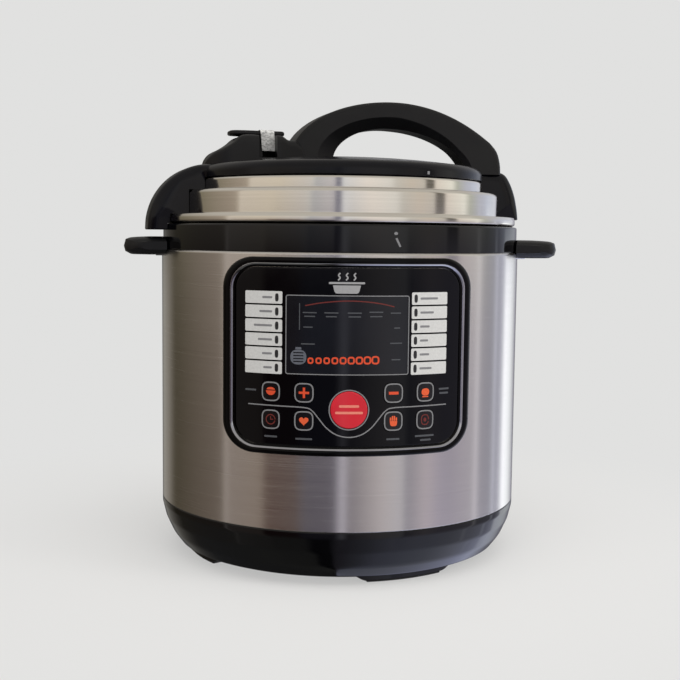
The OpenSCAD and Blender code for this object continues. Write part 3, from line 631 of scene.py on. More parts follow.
def side_handle(name, side):
    """Moulded grip that hugs the shell: rounded in plan and along every edge."""
    low, high = box_mm(name)
    half = (high.y - low.y) / 2
    tip = max(abs(low.x), abs(high.x))
    corner, middle = 15, 6.7
    section = rounded([(0, 0, 1), (0.80, 0, 5), (0.965, 2.4, 3), (1, 6.2, 3.4), (0.955, 11, 3),
                       (0.80, 12.6, 6), (0, 13.4, 1)], 12)
    rings = []
    for k in range(45):
        y = half * sin(radians(-90 + 180 * k / 44))
        run = max(0, abs(y) - (half - corner))
        out = tip - corner + sqrt(max(0, corner ** 2 - run ** 2))
        near = sqrt((BODY_R + 0.15) ** 2 - y ** 2)
        squeeze = min(1, max(0.45, sqrt(max(0.0, 1 - (run / corner) ** 4))))
        rings.append([((near + max(out - near, 1) * u) * side, y, low.z + middle + (v - middle) * squeeze)
                      for u, v in section])
    grip = new_object(name.replace("side_", "grip_"), loft(rings))
    wall = 6
    y_end = half - wall - 3
    inner = rounded([(BODY_R + 5, -y_end, 6), (tip - wall - 1, -y_end, 8), (tip - wall - 1, y_end, 8),
                     (BODY_R + 5, y_end, 6)])
    cut(grip, pillow([(x * side, y) for x, y in inner], low.z - 1, low.z + 7.6, 2.5))
    piece(grip, SATIN_BLACK, "root", [name])


# ---- Front panel ----

def front(s, z, radius):
    """A point on the front of the body: arc length s from the middle, height z."""
    a = s / PANEL_R
    return (radius * sin(a), -radius * cos(a), z)


def bend_onto_front(shape, cell=2.5):
    """Cuts a flat (s, z, radius) shape into narrow strips and bends it round the body."""
    mesh = bmesh.new()
    verts = [mesh.verts.new(p) for p in shape[0]]
    for face in shape[1]:
        mesh.faces.new([verts[i] for i in face])
    left, right = min(p[0] for p in shape[0]), max(p[0] for p in shape[0])
    if right - left > 2 * cell:
        place = ceil(left / cell) * cell
        while place < right:
            geometry = mesh.verts[:] + mesh.edges[:] + mesh.faces[:]
            bmesh.ops.bisect_plane(mesh, geom=geometry, plane_co=(place, 0, 0),
                                   plane_no=(1, 0, 0), dist=1e-4)
            place += cell
    mesh.verts.index_update()
    points = [front(*v.co) for v in mesh.verts]
    faces = [[v.index for v in f.verts] for f in mesh.faces]
    mesh.free()
    return points, faces


# Faces that carry print: the radius of the print, its slot and its body
SHEET = (SHEET_R - 0.02, "panel_gloss", "root")
SCREEN = (WINDOW_R - 0.01, "display_dark", "root")


def flat_print(name, outlines, height, ink, face, lift=0):
    """Thin raised print: every outline becomes a slab on the front of the body."""
    radius, slot, body = face
    radius += lift
    shapes = [bend_onto_front(pillow(outline, radius, radius + height, 0)) for outline in outlines]
    piece(new_object(name, join_shapes(shapes)), ink, body)


def line_sides(points, width, closed=False):
    """Pairs of points on the two sides of a line drawn through points."""
    sides = []
    for i, point in enumerate(points):
        if closed:
            before, after = points[i - 1], points[(i + 1) % len(points)]
        else:
            before, after = points[max(0, i - 1)], points[min(i + 1, len(points) - 1)]
        along = (Vector(after) - Vector(before)).normalized()
        normal = Vector((-along.y, along.x)) * width / 2
        sides.append((tuple(Vector(point) + normal), tuple(Vector(point) - normal)))
    return sides


def stroke(points, width):
    """Outline of a line drawn through points."""
    sides = line_sides(points, width)
    return [a for a, _ in sides] + [b for _, b in reversed(sides)]


def line_quads(points, width):
    """A line drawn through points, as one four-sided outline for each step."""
    sides = line_sides(points, width)
    return [[a, c, d, b] for (a, b), (c, d) in zip(sides, sides[1:])]


def band_print(name, loops, height, ink, face):
    """Closed lines of print, such as a frame or a ring round a key."""
    radius, slot, body = face
    shapes = []
    for outline, width in loops:
        rings = [[(*a, radius), (*a, radius + height), (*b, radius + height), (*b, radius)]
                 for a, b in line_sides(outline, width, closed=True)]
        points, faces = loft(rings, loop=True)
        shapes.append(([front(*p) for p in points], faces))
    piece(new_object(name, join_shapes(shapes)), ink, body)


def on_cylinder(x, z, radius):
    """A point on the front at a straight distance x from the middle."""
    return (x, -sqrt(radius ** 2 - x ** 2), z)


def even_outline(width, height, corner, count=50):
    """Rounded rectangle with the same number of points whatever its size."""
    arcs = [oval(cx * (width / 2 - corner), cz * (height / 2 - corner), corner, corner,
                 start, start + 90, 12)
            for cx, cz, start in ((1, 1, 0), (-1, 1, 90), (-1, -1, 180), (1, -1, 270))]
    outline = []
    for arc, following in zip(arcs, arcs[1:] + arcs[:1]):
        outline += arc + leg(arc[-1], following[0], count)[1:]
    return outline


def bezel_frame():
    """Curved black frame with a rounded outer edge, and the bright line that slopes in to the sheet."""
    bezel, sheet = span_mm("panel_bezel"), span_mm("panel_sheet")
    outer = even_outline(bezel.x, bezel.z, 20)
    inner = even_outline(sheet.x + 0.3, sheet.z + 0.3, 14.2)
    back = BODY_R + 0.15
    section = [(0, back)]
    section += oval(0.30, BEZEL_R - 2.4, 0.30, 2.4, 180, 90, 6)
    section += [(0.50, BEZEL_R), (0.56, BEZEL_R - 0.3), (0.86, SHEET_R - 0.7), (1, SHEET_R - 0.9),
                (1, back)]
    trim = [(share, BEZEL_R - depth) for share, depth in
            ((0.60, 0.9), (0.61, 0.35), (0.64, 0.32), (0.74, 0.75), (0.82, 1.2), (0.84, 1.6), (0.80, 1.8))]

    def ring(profile):
        """Turns (share of the way inward, radius) points into a ring round the sheet."""
        return loft([[on_cylinder(xo + (xi - xo) * t, PANEL_MID + zo + (zi - zo) * t, r) for t, r in profile]
                     for (xo, zo), (xi, zi) in zip(outer, inner)], loop=True)

    piece(new_object("bezel_frame", ring(section)), BEZEL_BLACK, "root", ["panel_bezel"])
    piece(new_object("panel_trim", ring(trim)), TRIM_METAL, "root")


# Where the four columns of keys stand, in degrees from the middle of the panel
KEY_ANGLES = [-21.9, -12.4, 12.4, 21.9]


def key_place(node):
    """Arc length and height of the middle of a key or of the red button."""
    low, high = box_mm(node)
    angle = KEY_ANGLES[int(node[-1]) - 1] if node.startswith("key_") else 0
    return radians(angle) * PANEL_R, (low.z + high.z) / 2


def glossy_sheet():
    """The sheet of the panel, with openings for the screen, the keys and the red button."""
    size = span_mm("panel_sheet")
    window_low, window_high = box_mm("display_window")
    curved = [(PANEL_R * asin(x / PANEL_R), PANEL_MID + z)
              for x, z in even_outline(size.x, size.z, 14, 20)]
    sheet = new_object("glossy_sheet", bend_onto_front(pillow(curved, SHEET_R - 1.4, SHEET_R, 0.8, 4)))
    depth = 12

    def open_at(outline, s):
        """Cuts an (x, z) outline through the sheet, square to it at an arc length."""
        a = s / PANEL_R
        points, faces = pillow(outline, -depth, depth, 0)
        turned = [(x * cos(a) + (SHEET_R + out) * sin(a),
                   -(SHEET_R + out) * cos(a) + x * sin(a), z) for x, z, out in points]
        cut(sheet, (turned, faces))

    for node in [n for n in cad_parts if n.startswith("key_")]:
        s, z = key_place(node)
        open_at(superellipse(13.6, 13.6, 3.4, 40, 0, z), s)
    open_at(superellipse(24.8, 24.8, 2, 72, 0, key_place("menu_button")[1]), 0)
    open_at(rectangle(window_low.x - 0.15, window_high.x + 0.15, window_low.z - 0.15,
                      window_high.z + 0.15, 0.6), 0)
    piece(sheet, PANEL_GLOSS, "root", ["panel_sheet"])


def screen():
    """Dark window with the lines, the pot sign and the row of level marks that show in it."""
    low, high = box_mm("display_window")
    left, right = [PANEL_R * asin(x / PANEL_R) for x in (low.x, high.x)]
    outline = rectangle(left, right, low.z, high.z, 0.6)
    glass = bend_onto_front(pillow(outline, WINDOW_R - 1.2, WINDOW_R, 0))
    piece(new_object("screen_glass", glass), DISPLAY_DARK, "root", ["display_window"])
    height = 0.05
    arch = smooth_curve([(-29, 187.0), (-18, 189.0), (-4, 190.2), (8, 190.0), (20, 188.6), (29, 186.6)], 30)
    flat_print("screen_arch", [stroke(arch, 0.7)], height, DIM_RED_INK, SCREEN)
    dashes = [stroke([(-32.6, 171.5), (-32.6, 188.5)], 0.6)]
    for s, z, length in [(-26, 182.6, 9), (-12, 182.6, 9), (3, 182.6, 9), (17, 183.2, 9), (30, 182.6, 7),
                         (-26, 180.2, 7), (-12, 180.2, 7), (3, 180.2, 8), (17, 180.4, 8),
                         (-27, 173.3, 6), (31, 173.0, 4), (-27, 162.5, 9), (30.5, 163.2, 8),
                         (30.5, 152.6, 6)]:
        dashes.append(stroke([(s - length / 2, z), (s + length / 2, z)], 0.75))
    flat_print("screen_dashes", dashes, height, DIM_INK, SCREEN)
    # A small pot with a lid, crossed by dark stripes
    s, z = -33.2, 154.3
    pot = [superellipse(10.6, 9.6, 2.4, 40, s, z - 0.4), rectangle(s - 2, s + 2, z + 4.6, z + 6, 0.5)]
    flat_print("screen_pot", pot, height, POT_INK, SCREEN)
    stripes = [rectangle(s - 3.4, s + 3.4, z + up, z + up + 0.7, 0.3) for up in (-3.6, -1.7, 0.2, 2.1)]
    flat_print("screen_pot_stripes", stripes, height, DISPLAY_DARK, SCREEN, height)
    marks = []
    for k in range(9):
        size = 3.0 + 0.17 * k
        mark = superellipse(size * 0.95, size, 3, 24, -25.2 + 5.25 * k, 151.8 + 0.08 * k)
        marks.append((mark, 1.1))
    band_print("screen_levels", marks, height, RED_INK, SCREEN)


# Heights of the rows of labels, and the left, the right and the lamp slot of each column
LABEL_ROWS = [191.8 - 9.06 * k for k in range(6)]
LABEL_SIDES = ((-70.4, -44.1, -47.8), (40.9, 67.4, 43.8))


def labels():
    """White strips on both sides of the screen, each with a lamp slot and a plain grey bar."""
    strips, slots, bars = [], [], []
    lengths = (7, 9, 13, 10, 7, 6)
    for side, (left, right, lamp) in enumerate(LABEL_SIDES):
        for row, z in enumerate(LABEL_ROWS):
            strips.append(rectangle(left, right, z - 4, z + 4, 0.8, 30))
            slots.append(superellipse(2.4, 5.2, 3, 20, lamp, z))
            length = lengths[(row + 2 * side) % 6]
            start = lamp - 3.2 - length if side == 0 else lamp + 3.2
            bars.append(rectangle(start, start + length, z - 0.7, z + 0.7, 0.5, 45))
    flat_print("label_strips", strips, 0.12, WHITE_INK, SHEET)
    flat_print("label_lamps", slots, 0.06, DARK_INK, SHEET, 0.1)
    flat_print("label_bars", bars, 0.05, GREY_INK, SHEET, 0.1)


def panel_lines():
    """Thin frame round the screen and the line that dips under the red button."""
    height = 0.09
    corners = rectangle(-41.5, 38.9, 143, 193.5, 1.2, 30)
    dense = []
    for a, b in zip(corners, corners[1:] + corners[:1]):
        dense += leg(a, b, max(1, round(dist(a, b) / 3)))
    band_print("screen_frame", [(dense, 0.6)], height, GREY_INK, SHEET)
    left = [(-68, 122), (-46, 121.8), (-29, 121.4), (-24, 119.6), (-19.6, 114.6), (-14.5, 108.6),
            (-8, 104.2)]
    dip = smooth_curve(left + [(0, 102.6)] + [(-s, z) for s, z in reversed(left)], 110)
    flat_print("panel_line", line_quads(dip, 0.75), height, GREY_INK, SHEET)


def emblem():
    """A plain sign above the screen: a pot with three wisps of steam."""
    s, z = -2.2, 201.4
    shapes = [rounded([(s - 9, z - 1.2, 0.3), (s + 9, z - 1.2, 0.3), (s + 7.6, z - 6.4, 2),
                       (s - 7.6, z - 6.4, 2)]),
              rectangle(s - 11.6, s + 11.6, z - 0.4, z + 0.9, 0.6)]
    for middle in (s - 5, s, s + 5):
        wisp = smooth_curve([(middle - 0.7, z + 2), (middle + 0.6, z + 3.6), (middle - 0.5, z + 5.2),
                             (middle + 0.7, z + 6.6)], 10)
        shapes.append(stroke(wisp, 0.9))
    flat_print("emblem", shapes, 0.09, EMBLEM_INK, SHEET)


def hand_outlines():
    """A hand with four fingers up."""
    fingers = [rectangle(x, x + 1.0, 0.2, top, 0.4)
               for x, top in ((-2.4, 2.4), (-1.1, 3.4), (0.2, 3.4), (1.5, 2.4))]
    return fingers + [rounded([(-2.5, 0.1, 0.3), (2.7, 0.1, 0.3), (2.2, -3.3, 1.4), (-1.9, -3.3, 1.4)])]


def heart_outline():
    return [(3.1 * sin(t) ** 3,
             0.19 * (13 * cos(t) - 5 * cos(2 * t) - 2 * cos(3 * t) - cos(4 * t)))
            for t in (tau * k / 32 for k in range(32))]


# Signs of the keys: an ink, and closed outlines about the key's middle, about 7 mm across
KEY_SIGNS = {
    "key_upper_1": (RED_INK, [oval(0, 0.6, 3.3, 3, 180, 360, 16), oval(0, 1.2, 2.9, 1.6, 0, 180, 16)]),
    "key_upper_2": (RED_INK, [rectangle(-3.4, 3.4, -0.75, 0.75, 0), rectangle(-0.75, 0.75, 0.76, 3.4, 0),
                              rectangle(-0.75, 0.75, -3.4, -0.76, 0)]),
    "key_upper_3": (RED_INK, [rectangle(-3.3, 3.3, -0.9, 0.9, 0.2)]),
    "key_upper_4": (ORANGE_INK, [superellipse(5.6, 4.8, 2.4, 24), rectangle(-2.2, 2.2, -3.4, -2.7, 0.2)]),
    "key_lower_1": (DIM_RED_INK, [rectangle(-0.35, 0.35, 0, 2, 0.1), rectangle(0, 1.8, -0.35, 0.35, 0.1),
                                  *line_quads(superellipse(6.2, 6.2, 2, 25), 0.7)]),
    "key_lower_2": (ORANGE_INK, [heart_outline()]),
    "key_lower_3": (ORANGE_INK, hand_outlines()),
    "key_lower_4": (DIM_RED_INK, [*line_quads(superellipse(5.2, 6.4, 2.6, 25), 0.7),
                                  superellipse(2.2, 2.6, 2, 16)]),
}


def keys():
    """Square-round keys, each with a light ring on its edge and its sign in the middle."""
    for node, (ink_of_sign, sign) in KEY_SIGNS.items():
        s, z = key_place(node)
        face = (KEY_R - 0.02, "key_black", node)
        cap = bend_onto_front(pillow(superellipse(13.1, 13.1, 3.4, 48, s, z), KEY_R - 2.4, KEY_R, 0.5))
        piece(new_object(node + "_cap", cap), KEY_BLACK, node, [node])
        ring = superellipse(11.8, 11.8, 3.4, 48, s, z)
        band_print(node + "_ring", [(ring, 0.85)], 0.07, GREY_INK, face)
        shapes = [[(x + s, y + z) for x, y in part] for part in sign]
        flat_print(node + "_sign", shapes, 0.07, ink_of_sign, face)


def menu_button():
    """Large red button with a pale ring round it and two plain lines on its face."""
    z = key_place("menu_button")[1]
    cap = bend_onto_front(pillow(superellipse(24.2, 24.2, 2, 72, 0, z), KEY_R - 2.4, KEY_R, 0.8, 4))
    piece(new_object("menu_cap", cap), RED_BUTTON, "menu_button", ["menu_button"])
    band_print("menu_ring", [(superellipse(25.6, 25.6, 2, 72, 0, z), 0.7)], 0.1, GREY_INK, SHEET)
    lines = [rectangle(-6.5, 6.5, z + 1.6, z + 3.2, 0.7, 30), rectangle(-9, 9, z - 2.6, z - 1.0, 0.7, 30)]
    flat_print("menu_lines", lines, 0.06, PINK_INK, (KEY_R - 0.02, "red_button", "menu_button"))


def key_bars():
    """Short dim bars beside and under the keys."""
    bars = [rectangle(s - length / 2, s + length / 2, z - 0.6, z + 0.6, 0.4, 45) for s, z, length in
            ((-66.2, 131.4, 8), (66, 132.4, 8), (66, 129.6, 7), (-51.6, 101.6, 9), (-29.2, 101, 11),
             (29.2, 101, 9), (51.6, 102.2, 14), (52.4, 99.4, 8))]
    flat_print("key_bars", bars, 0.07, DIM_INK, SHEET)


# ---- Lid ----

BEAD_TOP = RIM_TOP + 6.8
BAND_TOP = RIM_TOP + 24.1
BAND_R, STEP_R = 116.6, 105.3
# Where the exhaust valve and the float pin come through the lid, as X and Y
VALVE_X = -65
FLOAT_AT = (-34, 29)


def lid_pan():
    """Spun aluminium lid: rolled flange, tall band, step and deck, with locking teeth inside."""
    top, wall = DECK_TOP, 2.4
    bead_low = RIM_TOP + 0.3
    profile = rounded([
        (0, top, 0), (STEP_R, top, 2.4), (STEP_R, BAND_TOP, 0.9), (BAND_R, BAND_TOP, 3),
        (BAND_R, BEAD_TOP, 1.2), (LID_R - 0.9, BEAD_TOP + 0.1, 0.8), (LID_R, BEAD_TOP - 2, 2),
        (LID_R, bead_low + 1.4, 1.6), (LID_R - 1.9, bead_low, 0.8), (LID_R - 1.9, LID_LOW, 0.5),
        (LID_R - 4.5, LID_LOW, 0.5), (LID_R - 4.5, BEAD_TOP - 2.9, 1.5), (BAND_R - wall, BEAD_TOP - 2.9, 1),
        (BAND_R - wall, BAND_TOP - 2.5, 2), (STEP_R - wall, BAND_TOP - 2.4, 0.6),
        (STEP_R - wall, top - wall, 1.5), (0, top - wall, 0),
    ], 10)
    lid = new_object("lid_pan", lathe(profile, 360))
    for x, y, r in ((VALVE_X, 0, 4.2), (*FLOAT_AT, 3.3)):
        cut(lid, post(x, y, r, top - 6, top + 3))
    piece(lid, LID_METAL, "lid", ["lid_shell"], turn=LID_TURN)
    teeth = []
    for k in range(12):
        middle = 30 * k + 15 - degrees(LID_TURN)
        tooth = sector(LID_R - 4.2, 117.5, middle - 6, middle + 6, 8)
        teeth.append(pillow(tooth, LID_LOW, LID_LOW + 2.5, 0.4, 2, 0.4))
    piece(new_object("lid_teeth", join_shapes(teeth)), LID_METAL, "lid", turn=LID_TURN)


def cover_dome():
    """Satin black cover: a shallow crown that rolls over into a short skirt."""
    low, edge = DECK_TOP + 0.2, 105
    crown_top, twice_radius = 289, 1368
    profile = [(0, low), (edge - 0.4, low), (edge, low + 0.4)] + oval(98.5, low + 3.4, 6.5, 6.5, 0, 80, 9)
    profile += [(r, crown_top - r * r / twice_radius) for r in (92, 84, 74, 62, 50, 38, 26, 14, 0)]
    dome = new_object("cover_dome", lathe(profile, 288))
    for x, y, r in ((VALVE_X, 0, 4.4), (*FLOAT_AT, 3.6)):
        cut(dome, post(x, y, r, low - 2, 300, 32))
    piece(dome, COVER_BLACK, "lid", ["lid_cover"], turn=LID_TURN)
    mark = rectangle(72.3, 74.7, low + 1.2, low + 3.4, 0.5)
    flat_print("cover_mark", [mark], 0.1, GREY_INK, (edge, "panel_gloss", "lid"))


def bar_section(front, back):
    """Section of the lid handle: rounded outside, chamfered towards the grip's underside.

    front and back are (width share, height share) of the chamfer on each side.
    """
    top = oval(0.78, 0.78, 0.22, 0.22, 0, 90, 6) + oval(-0.78, 0.78, 0.22, 0.22, 90, 180, 6)
    return top + [(-1, front[1]), (front[0] - 1, 0), (1 - back[0], 0), (1, back[1])]


def ears():
    """The two arms that reach down over the lid's steps and flange at the ends of the handle."""
    section = rounded([(-1, 0, 0), (-1, 1, 0.42), (1, 1, 0.42), (1, 0, 0)], 9)
    gap = 0.25
    under = [(0, RIM_TOP - 20), (COLLAR_R + 0.4, RIM_TOP - 20), (COLLAR_R + 0.4, RIM_TOP + gap),
             (LID_R + gap, RIM_TOP + gap), (LID_R + gap, BEAD_TOP + gap), (BAND_R + gap, BEAD_TOP + gap),
             (BAND_R + gap, BAND_TOP + gap), (STEP_R + gap, BAND_TOP + gap),
             (STEP_R + gap, DECK_TOP + gap), (0, DECK_TOP + gap)]
    stations = 72

    def ear(name, outer_line, low, side):
        outer = smooth_curve(outer_line, stations)
        inner = even_line([(92, DECK_TOP - 3), (102, DECK_TOP - 3), (102, BAND_TOP - 3),
                           (113, BAND_TOP - 3), (113, BEAD_TOP - 3), (126, BEAD_TOP - 3), (126, low)],
                          stations)
        # Half width: wide at the handle, and a little narrower at the tip
        width = [15.5 + 13 * max(0, (110 - x) / 16) ** 1.5 - 2.5 * max(0, k / stations - 0.75) / 0.25
                 for k, (x, _) in enumerate(outer)]
        outer.append((outer[-1][0] - 0.7, outer[-1][1] - 0.6))
        inner.append((inner[-1][0] + 0.3, inner[-1][1] - 0.6))
        width.append(width[-1] - 0.8)
        points, faces = band_loft(outer, inner, [section] * len(outer), width)
        obj = new_object(name, ([(x * side, y, z) for x, y, z in points], faces))
        cut(obj, lathe(under, 288))
        piece(obj, COVER_BLACK, "lid", turn=LID_TURN)

    left_low = RIM_TOP - 3.7
    left = [(94, 281.9)] + oval(100, left_low, 44.3, 46.4, 88, 0, 9)
    ear("ear_left", left, left_low, -1)
    right = [(94, 282), (110, 282), (121.5, 281.8), (128.5, 279.6), (133.2, 273.2), (136.8, 264.6),
             (139.4, 254.6), (140.9, 245.8)]
    ear("ear_right", right, 245.8, 1)


def handle():
    """Arched grip that grows out of the valve tower, with the well and the front slot of the valve."""
    mid, count, base = 37, 72, 279
    outer = [(-41, base), (-40.8, 288), (-40.2, 294)] + oval(mid, ARCH_TOP - 43, 78, 43, 163, 90, 20)[:-1]
    outer += oval(mid, ARCH_TOP - 190, 150, 190, 90, 58.6, 20)
    outer += [(120.2, 297), (122.4, 291), (123.4, 285), (123.5, 279.4)]
    inner = [(-9, base)] + oval(33, ARCH_TOP - 44.3, 42, 25, 186, 90, 20)[:-1]
    inner += oval(33, ARCH_TOP - 57.3, 64, 38, 90, 16, 20)
    inner += [(95.4, 281.4), (95.6, 280.6), (95.6, 280), (95.6, 279.2)]
    outer, inner = smooth_curve(outer, count), smooth_curve(inner, count)
    widths = [15 + 1.2 * max(0, 1 - k / 12) + 1.0 * max(0, (k - count + 10) / 10) for k in range(count + 1)]
    sections = []
    for k in range(count + 1):
        near = min(1, max(0, (k / count - 0.5) / 0.35))
        sections.append(bar_section((0.36 - 0.22 * near, 0.42 - 0.27 * near),
                                    (0.36 + 0.45 * near, 0.42 + 0.05 * near)))
    arch = new_object("handle_arch", band_loft(outer, inner, sections, widths))
    top = smooth_curve([(-103.8, 281), (-101.6, 285.6), (-97.4, 290), (-90, 293.9), (-84.6, 297.4),
                        (-79.6, 301.6), (-74.5, 303), (-60, 303), (-50, 303), (-47.2, 302), (-44.4, 300.2),
                        (-41.6, 299.9), (-38, 299.6), (-34, 296), (-31, 286)], 60)
    floor = [(x, base) for x, _ in top]
    # Half width: round at the far end, and narrower where the arch grows out
    widths = [20 * sqrt(max(0.02, 1 - ((-84 - x) / 20.4) ** 2)) if x < -84
              else 20 - 3.7 * min(1, max(0, (x + 50) / 16)) for x, _ in top]
    shape = rounded([(-1, 0, 0), (-1, 1, 0.22), (1, 1, 0.22), (1, 0, 0)], 10)
    tower = new_object("tower", band_loft(top, floor, [shape] * len(top), widths))
    combine(arch, tower, "UNION")
    cut(arch, post(VALVE_X, 0, 17, 287, 320, 72))
    cut(arch, block(-59.5, -20, 303, (13, 36, 32)))
    soften(arch, 0.7, 3, 18)
    piece(arch, SATIN_BLACK, "lid", ["lid_handle"], turn=LID_TURN)


def valve():
    """Exhaust valve: fluted body, flat lever on top and a printed tag hooked over its side."""
    low, high = box_mm("exhaust_knob")
    lever_low, lever_top = high.z - 4.2, high.z - 1
    x0 = VALVE_X
    count, flute_count = 96, 16
    ripple = [0.3 * cos(flute_count * tau * k / count) for k in range(count)]
    flutes = [[(x0 + (r + wave) * x, (r + wave) * y, z)
               for wave, (x, y) in zip(ripple, circle(0, 0, 1, count))]
              for z, r in ((low.z, 8.8), (low.z + 0.7, 9.4), (lever_low - 1, 9.4), (lever_low + 0.4, 9))]
    lever = rounded([(x0 - 20, -8.5, 7), (x0 - 9, -10, 5), (x0 + 20, -10, 3.5), (x0 + 20, 10, 3.5),
                     (x0 - 9, 10, 5), (x0 - 20, 8.5, 7)], 10)
    ridge = rounded([(x0 - 17.5, -1.6, 1.4), (x0 - 7, -2.2, 1.4), (x0 - 7, 2.2, 1.4),
                     (x0 - 17.5, 1.6, 1.4)], 20)
    for name, shape, replaces in (
            ("valve_body", loft(flutes), ["exhaust_knob"]),
            ("valve_lever", pillow(lever, lever_low, lever_top, 1.4, 4, 1.0), ()),
            ("valve_ridge", pillow(ridge, lever_top - 0.5, lever_top - 0.05, 0.3), ())):
        piece(new_object(name, shape), SATIN_BLACK, "exhaust_valve", replaces,
              turn=LID_TURN)
    tag(x0, lever_top)


def tag(x0, lever_top):
    """Paper tag: over the lever's top, then hanging down its front with a slight curl."""
    low = box_mm("valve_tag")[0]
    left, right = x0 + 1.5, x0 + 11.5
    path = [(7.5, lever_top + 0.5), (0, lever_top + 0.5), (-8, lever_top + 0.5), (-10, lever_top + 0.2),
            (-10.9, lever_top - 1.2), (-10.8, lever_top - 6), (-10.6, lever_top - 11), (-10.3, low.z + 0.2)]
    line = smooth_curve(path, 30)
    rings = []
    for (_, z), (inside, outside) in zip(line, line_sides(line, 0.32)):
        drop = max(0, lever_top - z)
        ring = []
        for (face_y, face_z), columns in ((outside, range(9)), (inside, range(8, -1, -1))):
            for j in columns:
                curl = 0.25 * sin(pi * j / 8) * min(1, drop / 6)
                ring.append((left + (right - left) * j / 8 + 0.10 * drop, face_y - curl, face_z))
        rings.append(ring)
    piece(new_object("paper_tag", loft(rings)), PAPER, "exhaust_valve", ["valve_tag"],
          turn=LID_TURN)


# ---- Rear cup ----

def cup():
    """Clear cup that hangs at the rear right: rounded corners, thin walls and two hanging rails."""
    angle = radians(135)
    half, near, far, low, top = 29, 134.8, 158, 150, 206
    outer = rectangle(-half, half, -far, -near, 5)
    inner = inset(outer, 1.8)
    rings = [at_height(inset(outer, 1.5 * (1 - sin(t))), low + 1.5 * (1 - cos(t)))
             for t in (0, radians(30), radians(60))]
    rings += [at_height(outer, low + 1.5), at_height(outer, top - 0.6), at_height(inset(outer, 0.6), top),
              at_height(inset(outer, 1.3), top), at_height(inner, top - 0.6), at_height(inner, low + 3),
              at_height(inset(inner, 1.2), low + 1.8)]
    piece(new_object("clear_cup", loft(rings)), CLEAR_CUP, "condensation_cup",
          ["condensation_cup"], turn=angle)
    rails = []
    for side in (-1, 1):
        outline = [(side * x, y) for x, y in rectangle(half - 0.4, half + 2.2, -151, -137, 0.8)]
        rails.append(pillow(outline, 192.3, 194.8, 0.5, 2, 0.5))
    piece(new_object("cup_rails", join_shapes(rails)), CLEAR_CUP, "condensation_cup",
          turn=angle)


# ---- Studio ----

# What reflections see round the compass. Each stop has its share of a turn (from the back, through
# the left, the front at 0.5 and the right, to the back again), then its red, green and blue. LOW is
# seen below the horizon, HIGH above it, and TABLE by faces that mirror what lies well below.
LOW_SURROUNDINGS = [
    (0.04, 0.12, 0.12, 0.12), (0.06, 0.34, 0.33, 0.30), (0.10, 0.25, 0.23, 0.20),
    (0.135, 0.07, 0.06, 0.04), (0.28, 0.15, 0.12, 0.10), (0.284, 0.60, 0.55, 0.52),
    (0.29, 0.26, 0.22, 0.20), (0.357, 0.25, 0.20, 0.17), (0.366, 0.07, 0.03, 0.025),
    (0.42, 0.07, 0.035, 0.03), (0.435, 0.09, 0.08, 0.11), (0.487, 0.10, 0.09, 0.12),
    (0.50, 0.66, 0.64, 0.74), (0.512, 0.20, 0.18, 0.21), (0.57, 0.53, 0.49, 0.51),
    (0.605, 0.56, 0.55, 0.59), (0.613, 0.26, 0.25, 0.30), (0.65, 0.52, 0.47, 0.52),
    (0.68, 0.40, 0.37, 0.46), (0.757, 0.42, 0.40, 0.46), (0.762, 0.90, 0.88, 0.96),
    (0.772, 0.36, 0.35, 0.42), (0.814, 0.32, 0.32, 0.38), (0.818, 0.95, 1.00, 1.15),
    (0.826, 0.30, 0.30, 0.38), (0.85, 0.60, 0.62, 0.72), (0.858, 1.45, 1.50, 1.60),
    (0.89, 1.05, 1.10, 1.15), (0.91, 0.70, 0.72, 0.76), (0.93, 0.30, 0.30, 0.36),
    (0.96, 0.12, 0.12, 0.12),
]
HIGH_SURROUNDINGS = [
    (0.00, 0.08, 0.08, 0.08), (0.10, 0.11, 0.10, 0.08), (0.16, 0.21, 0.19, 0.14),
    (0.26, 0.36, 0.31, 0.26), (0.275, 0.40, 0.35, 0.29), (0.285, 0.66, 0.60, 0.53),
    (0.36, 0.68, 0.62, 0.53), (0.42, 0.66, 0.63, 0.61), (0.432, 0.66, 0.65, 0.64),
    (0.44, 0.50, 0.51, 0.54), (0.47, 0.60, 0.58, 0.61), (0.48, 0.56, 0.55, 0.60),
    (0.484, 0.20, 0.20, 0.26), (0.493, 0.22, 0.22, 0.28), (0.497, 0.72, 0.74, 0.78),
    (0.55, 0.86, 0.81, 0.77), (0.60, 0.76, 0.75, 0.72), (0.615, 0.62, 0.60, 0.56),
    (0.65, 0.62, 0.56, 0.49), (0.684, 0.60, 0.57, 0.52), (0.689, 0.13, 0.12, 0.10),
    (0.708, 0.13, 0.12, 0.10), (0.714, 0.78, 0.72, 0.66), (0.765, 0.86, 0.86, 0.80),
    (0.785, 0.48, 0.50, 0.45), (0.82, 0.50, 0.52, 0.62), (0.86, 0.55, 0.60, 0.74),
    (0.91, 0.66, 0.69, 0.78), (0.93, 0.40, 0.40, 0.46), (1.00, 0.40, 0.40, 0.40),
]
CEILING = (0.50, 0.48, 0.45)
TABLE_SURROUNDINGS = [
    (0.00, 0.03, 0.03, 0.03), (0.15, 0.07, 0.07, 0.07), (0.30, 0.13, 0.13, 0.12),
    (0.425, 0.12, 0.12, 0.11), (0.445, 0.01, 0.01, 0.01), (0.475, 0.01, 0.01, 0.01),
    (0.49, 0.15, 0.14, 0.17), (0.505, 0.18, 0.17, 0.21), (0.556, 0.31, 0.32, 0.40),
    (0.61, 0.54, 0.56, 0.74), (0.667, 0.64, 0.68, 0.88), (0.732, 0.74, 0.78, 0.97),
    (0.786, 0.92, 0.96, 1.20), (0.84, 1.10, 1.16, 1.55), (0.90, 1.05, 1.12, 1.55),
    (0.95, 0.55, 0.58, 0.80), (0.985, 0.04, 0.04, 0.04),
]
SHADE = (0.02, 0.02, 0.02)
BACKGROUND = (0.752, 0.752, 0.745)
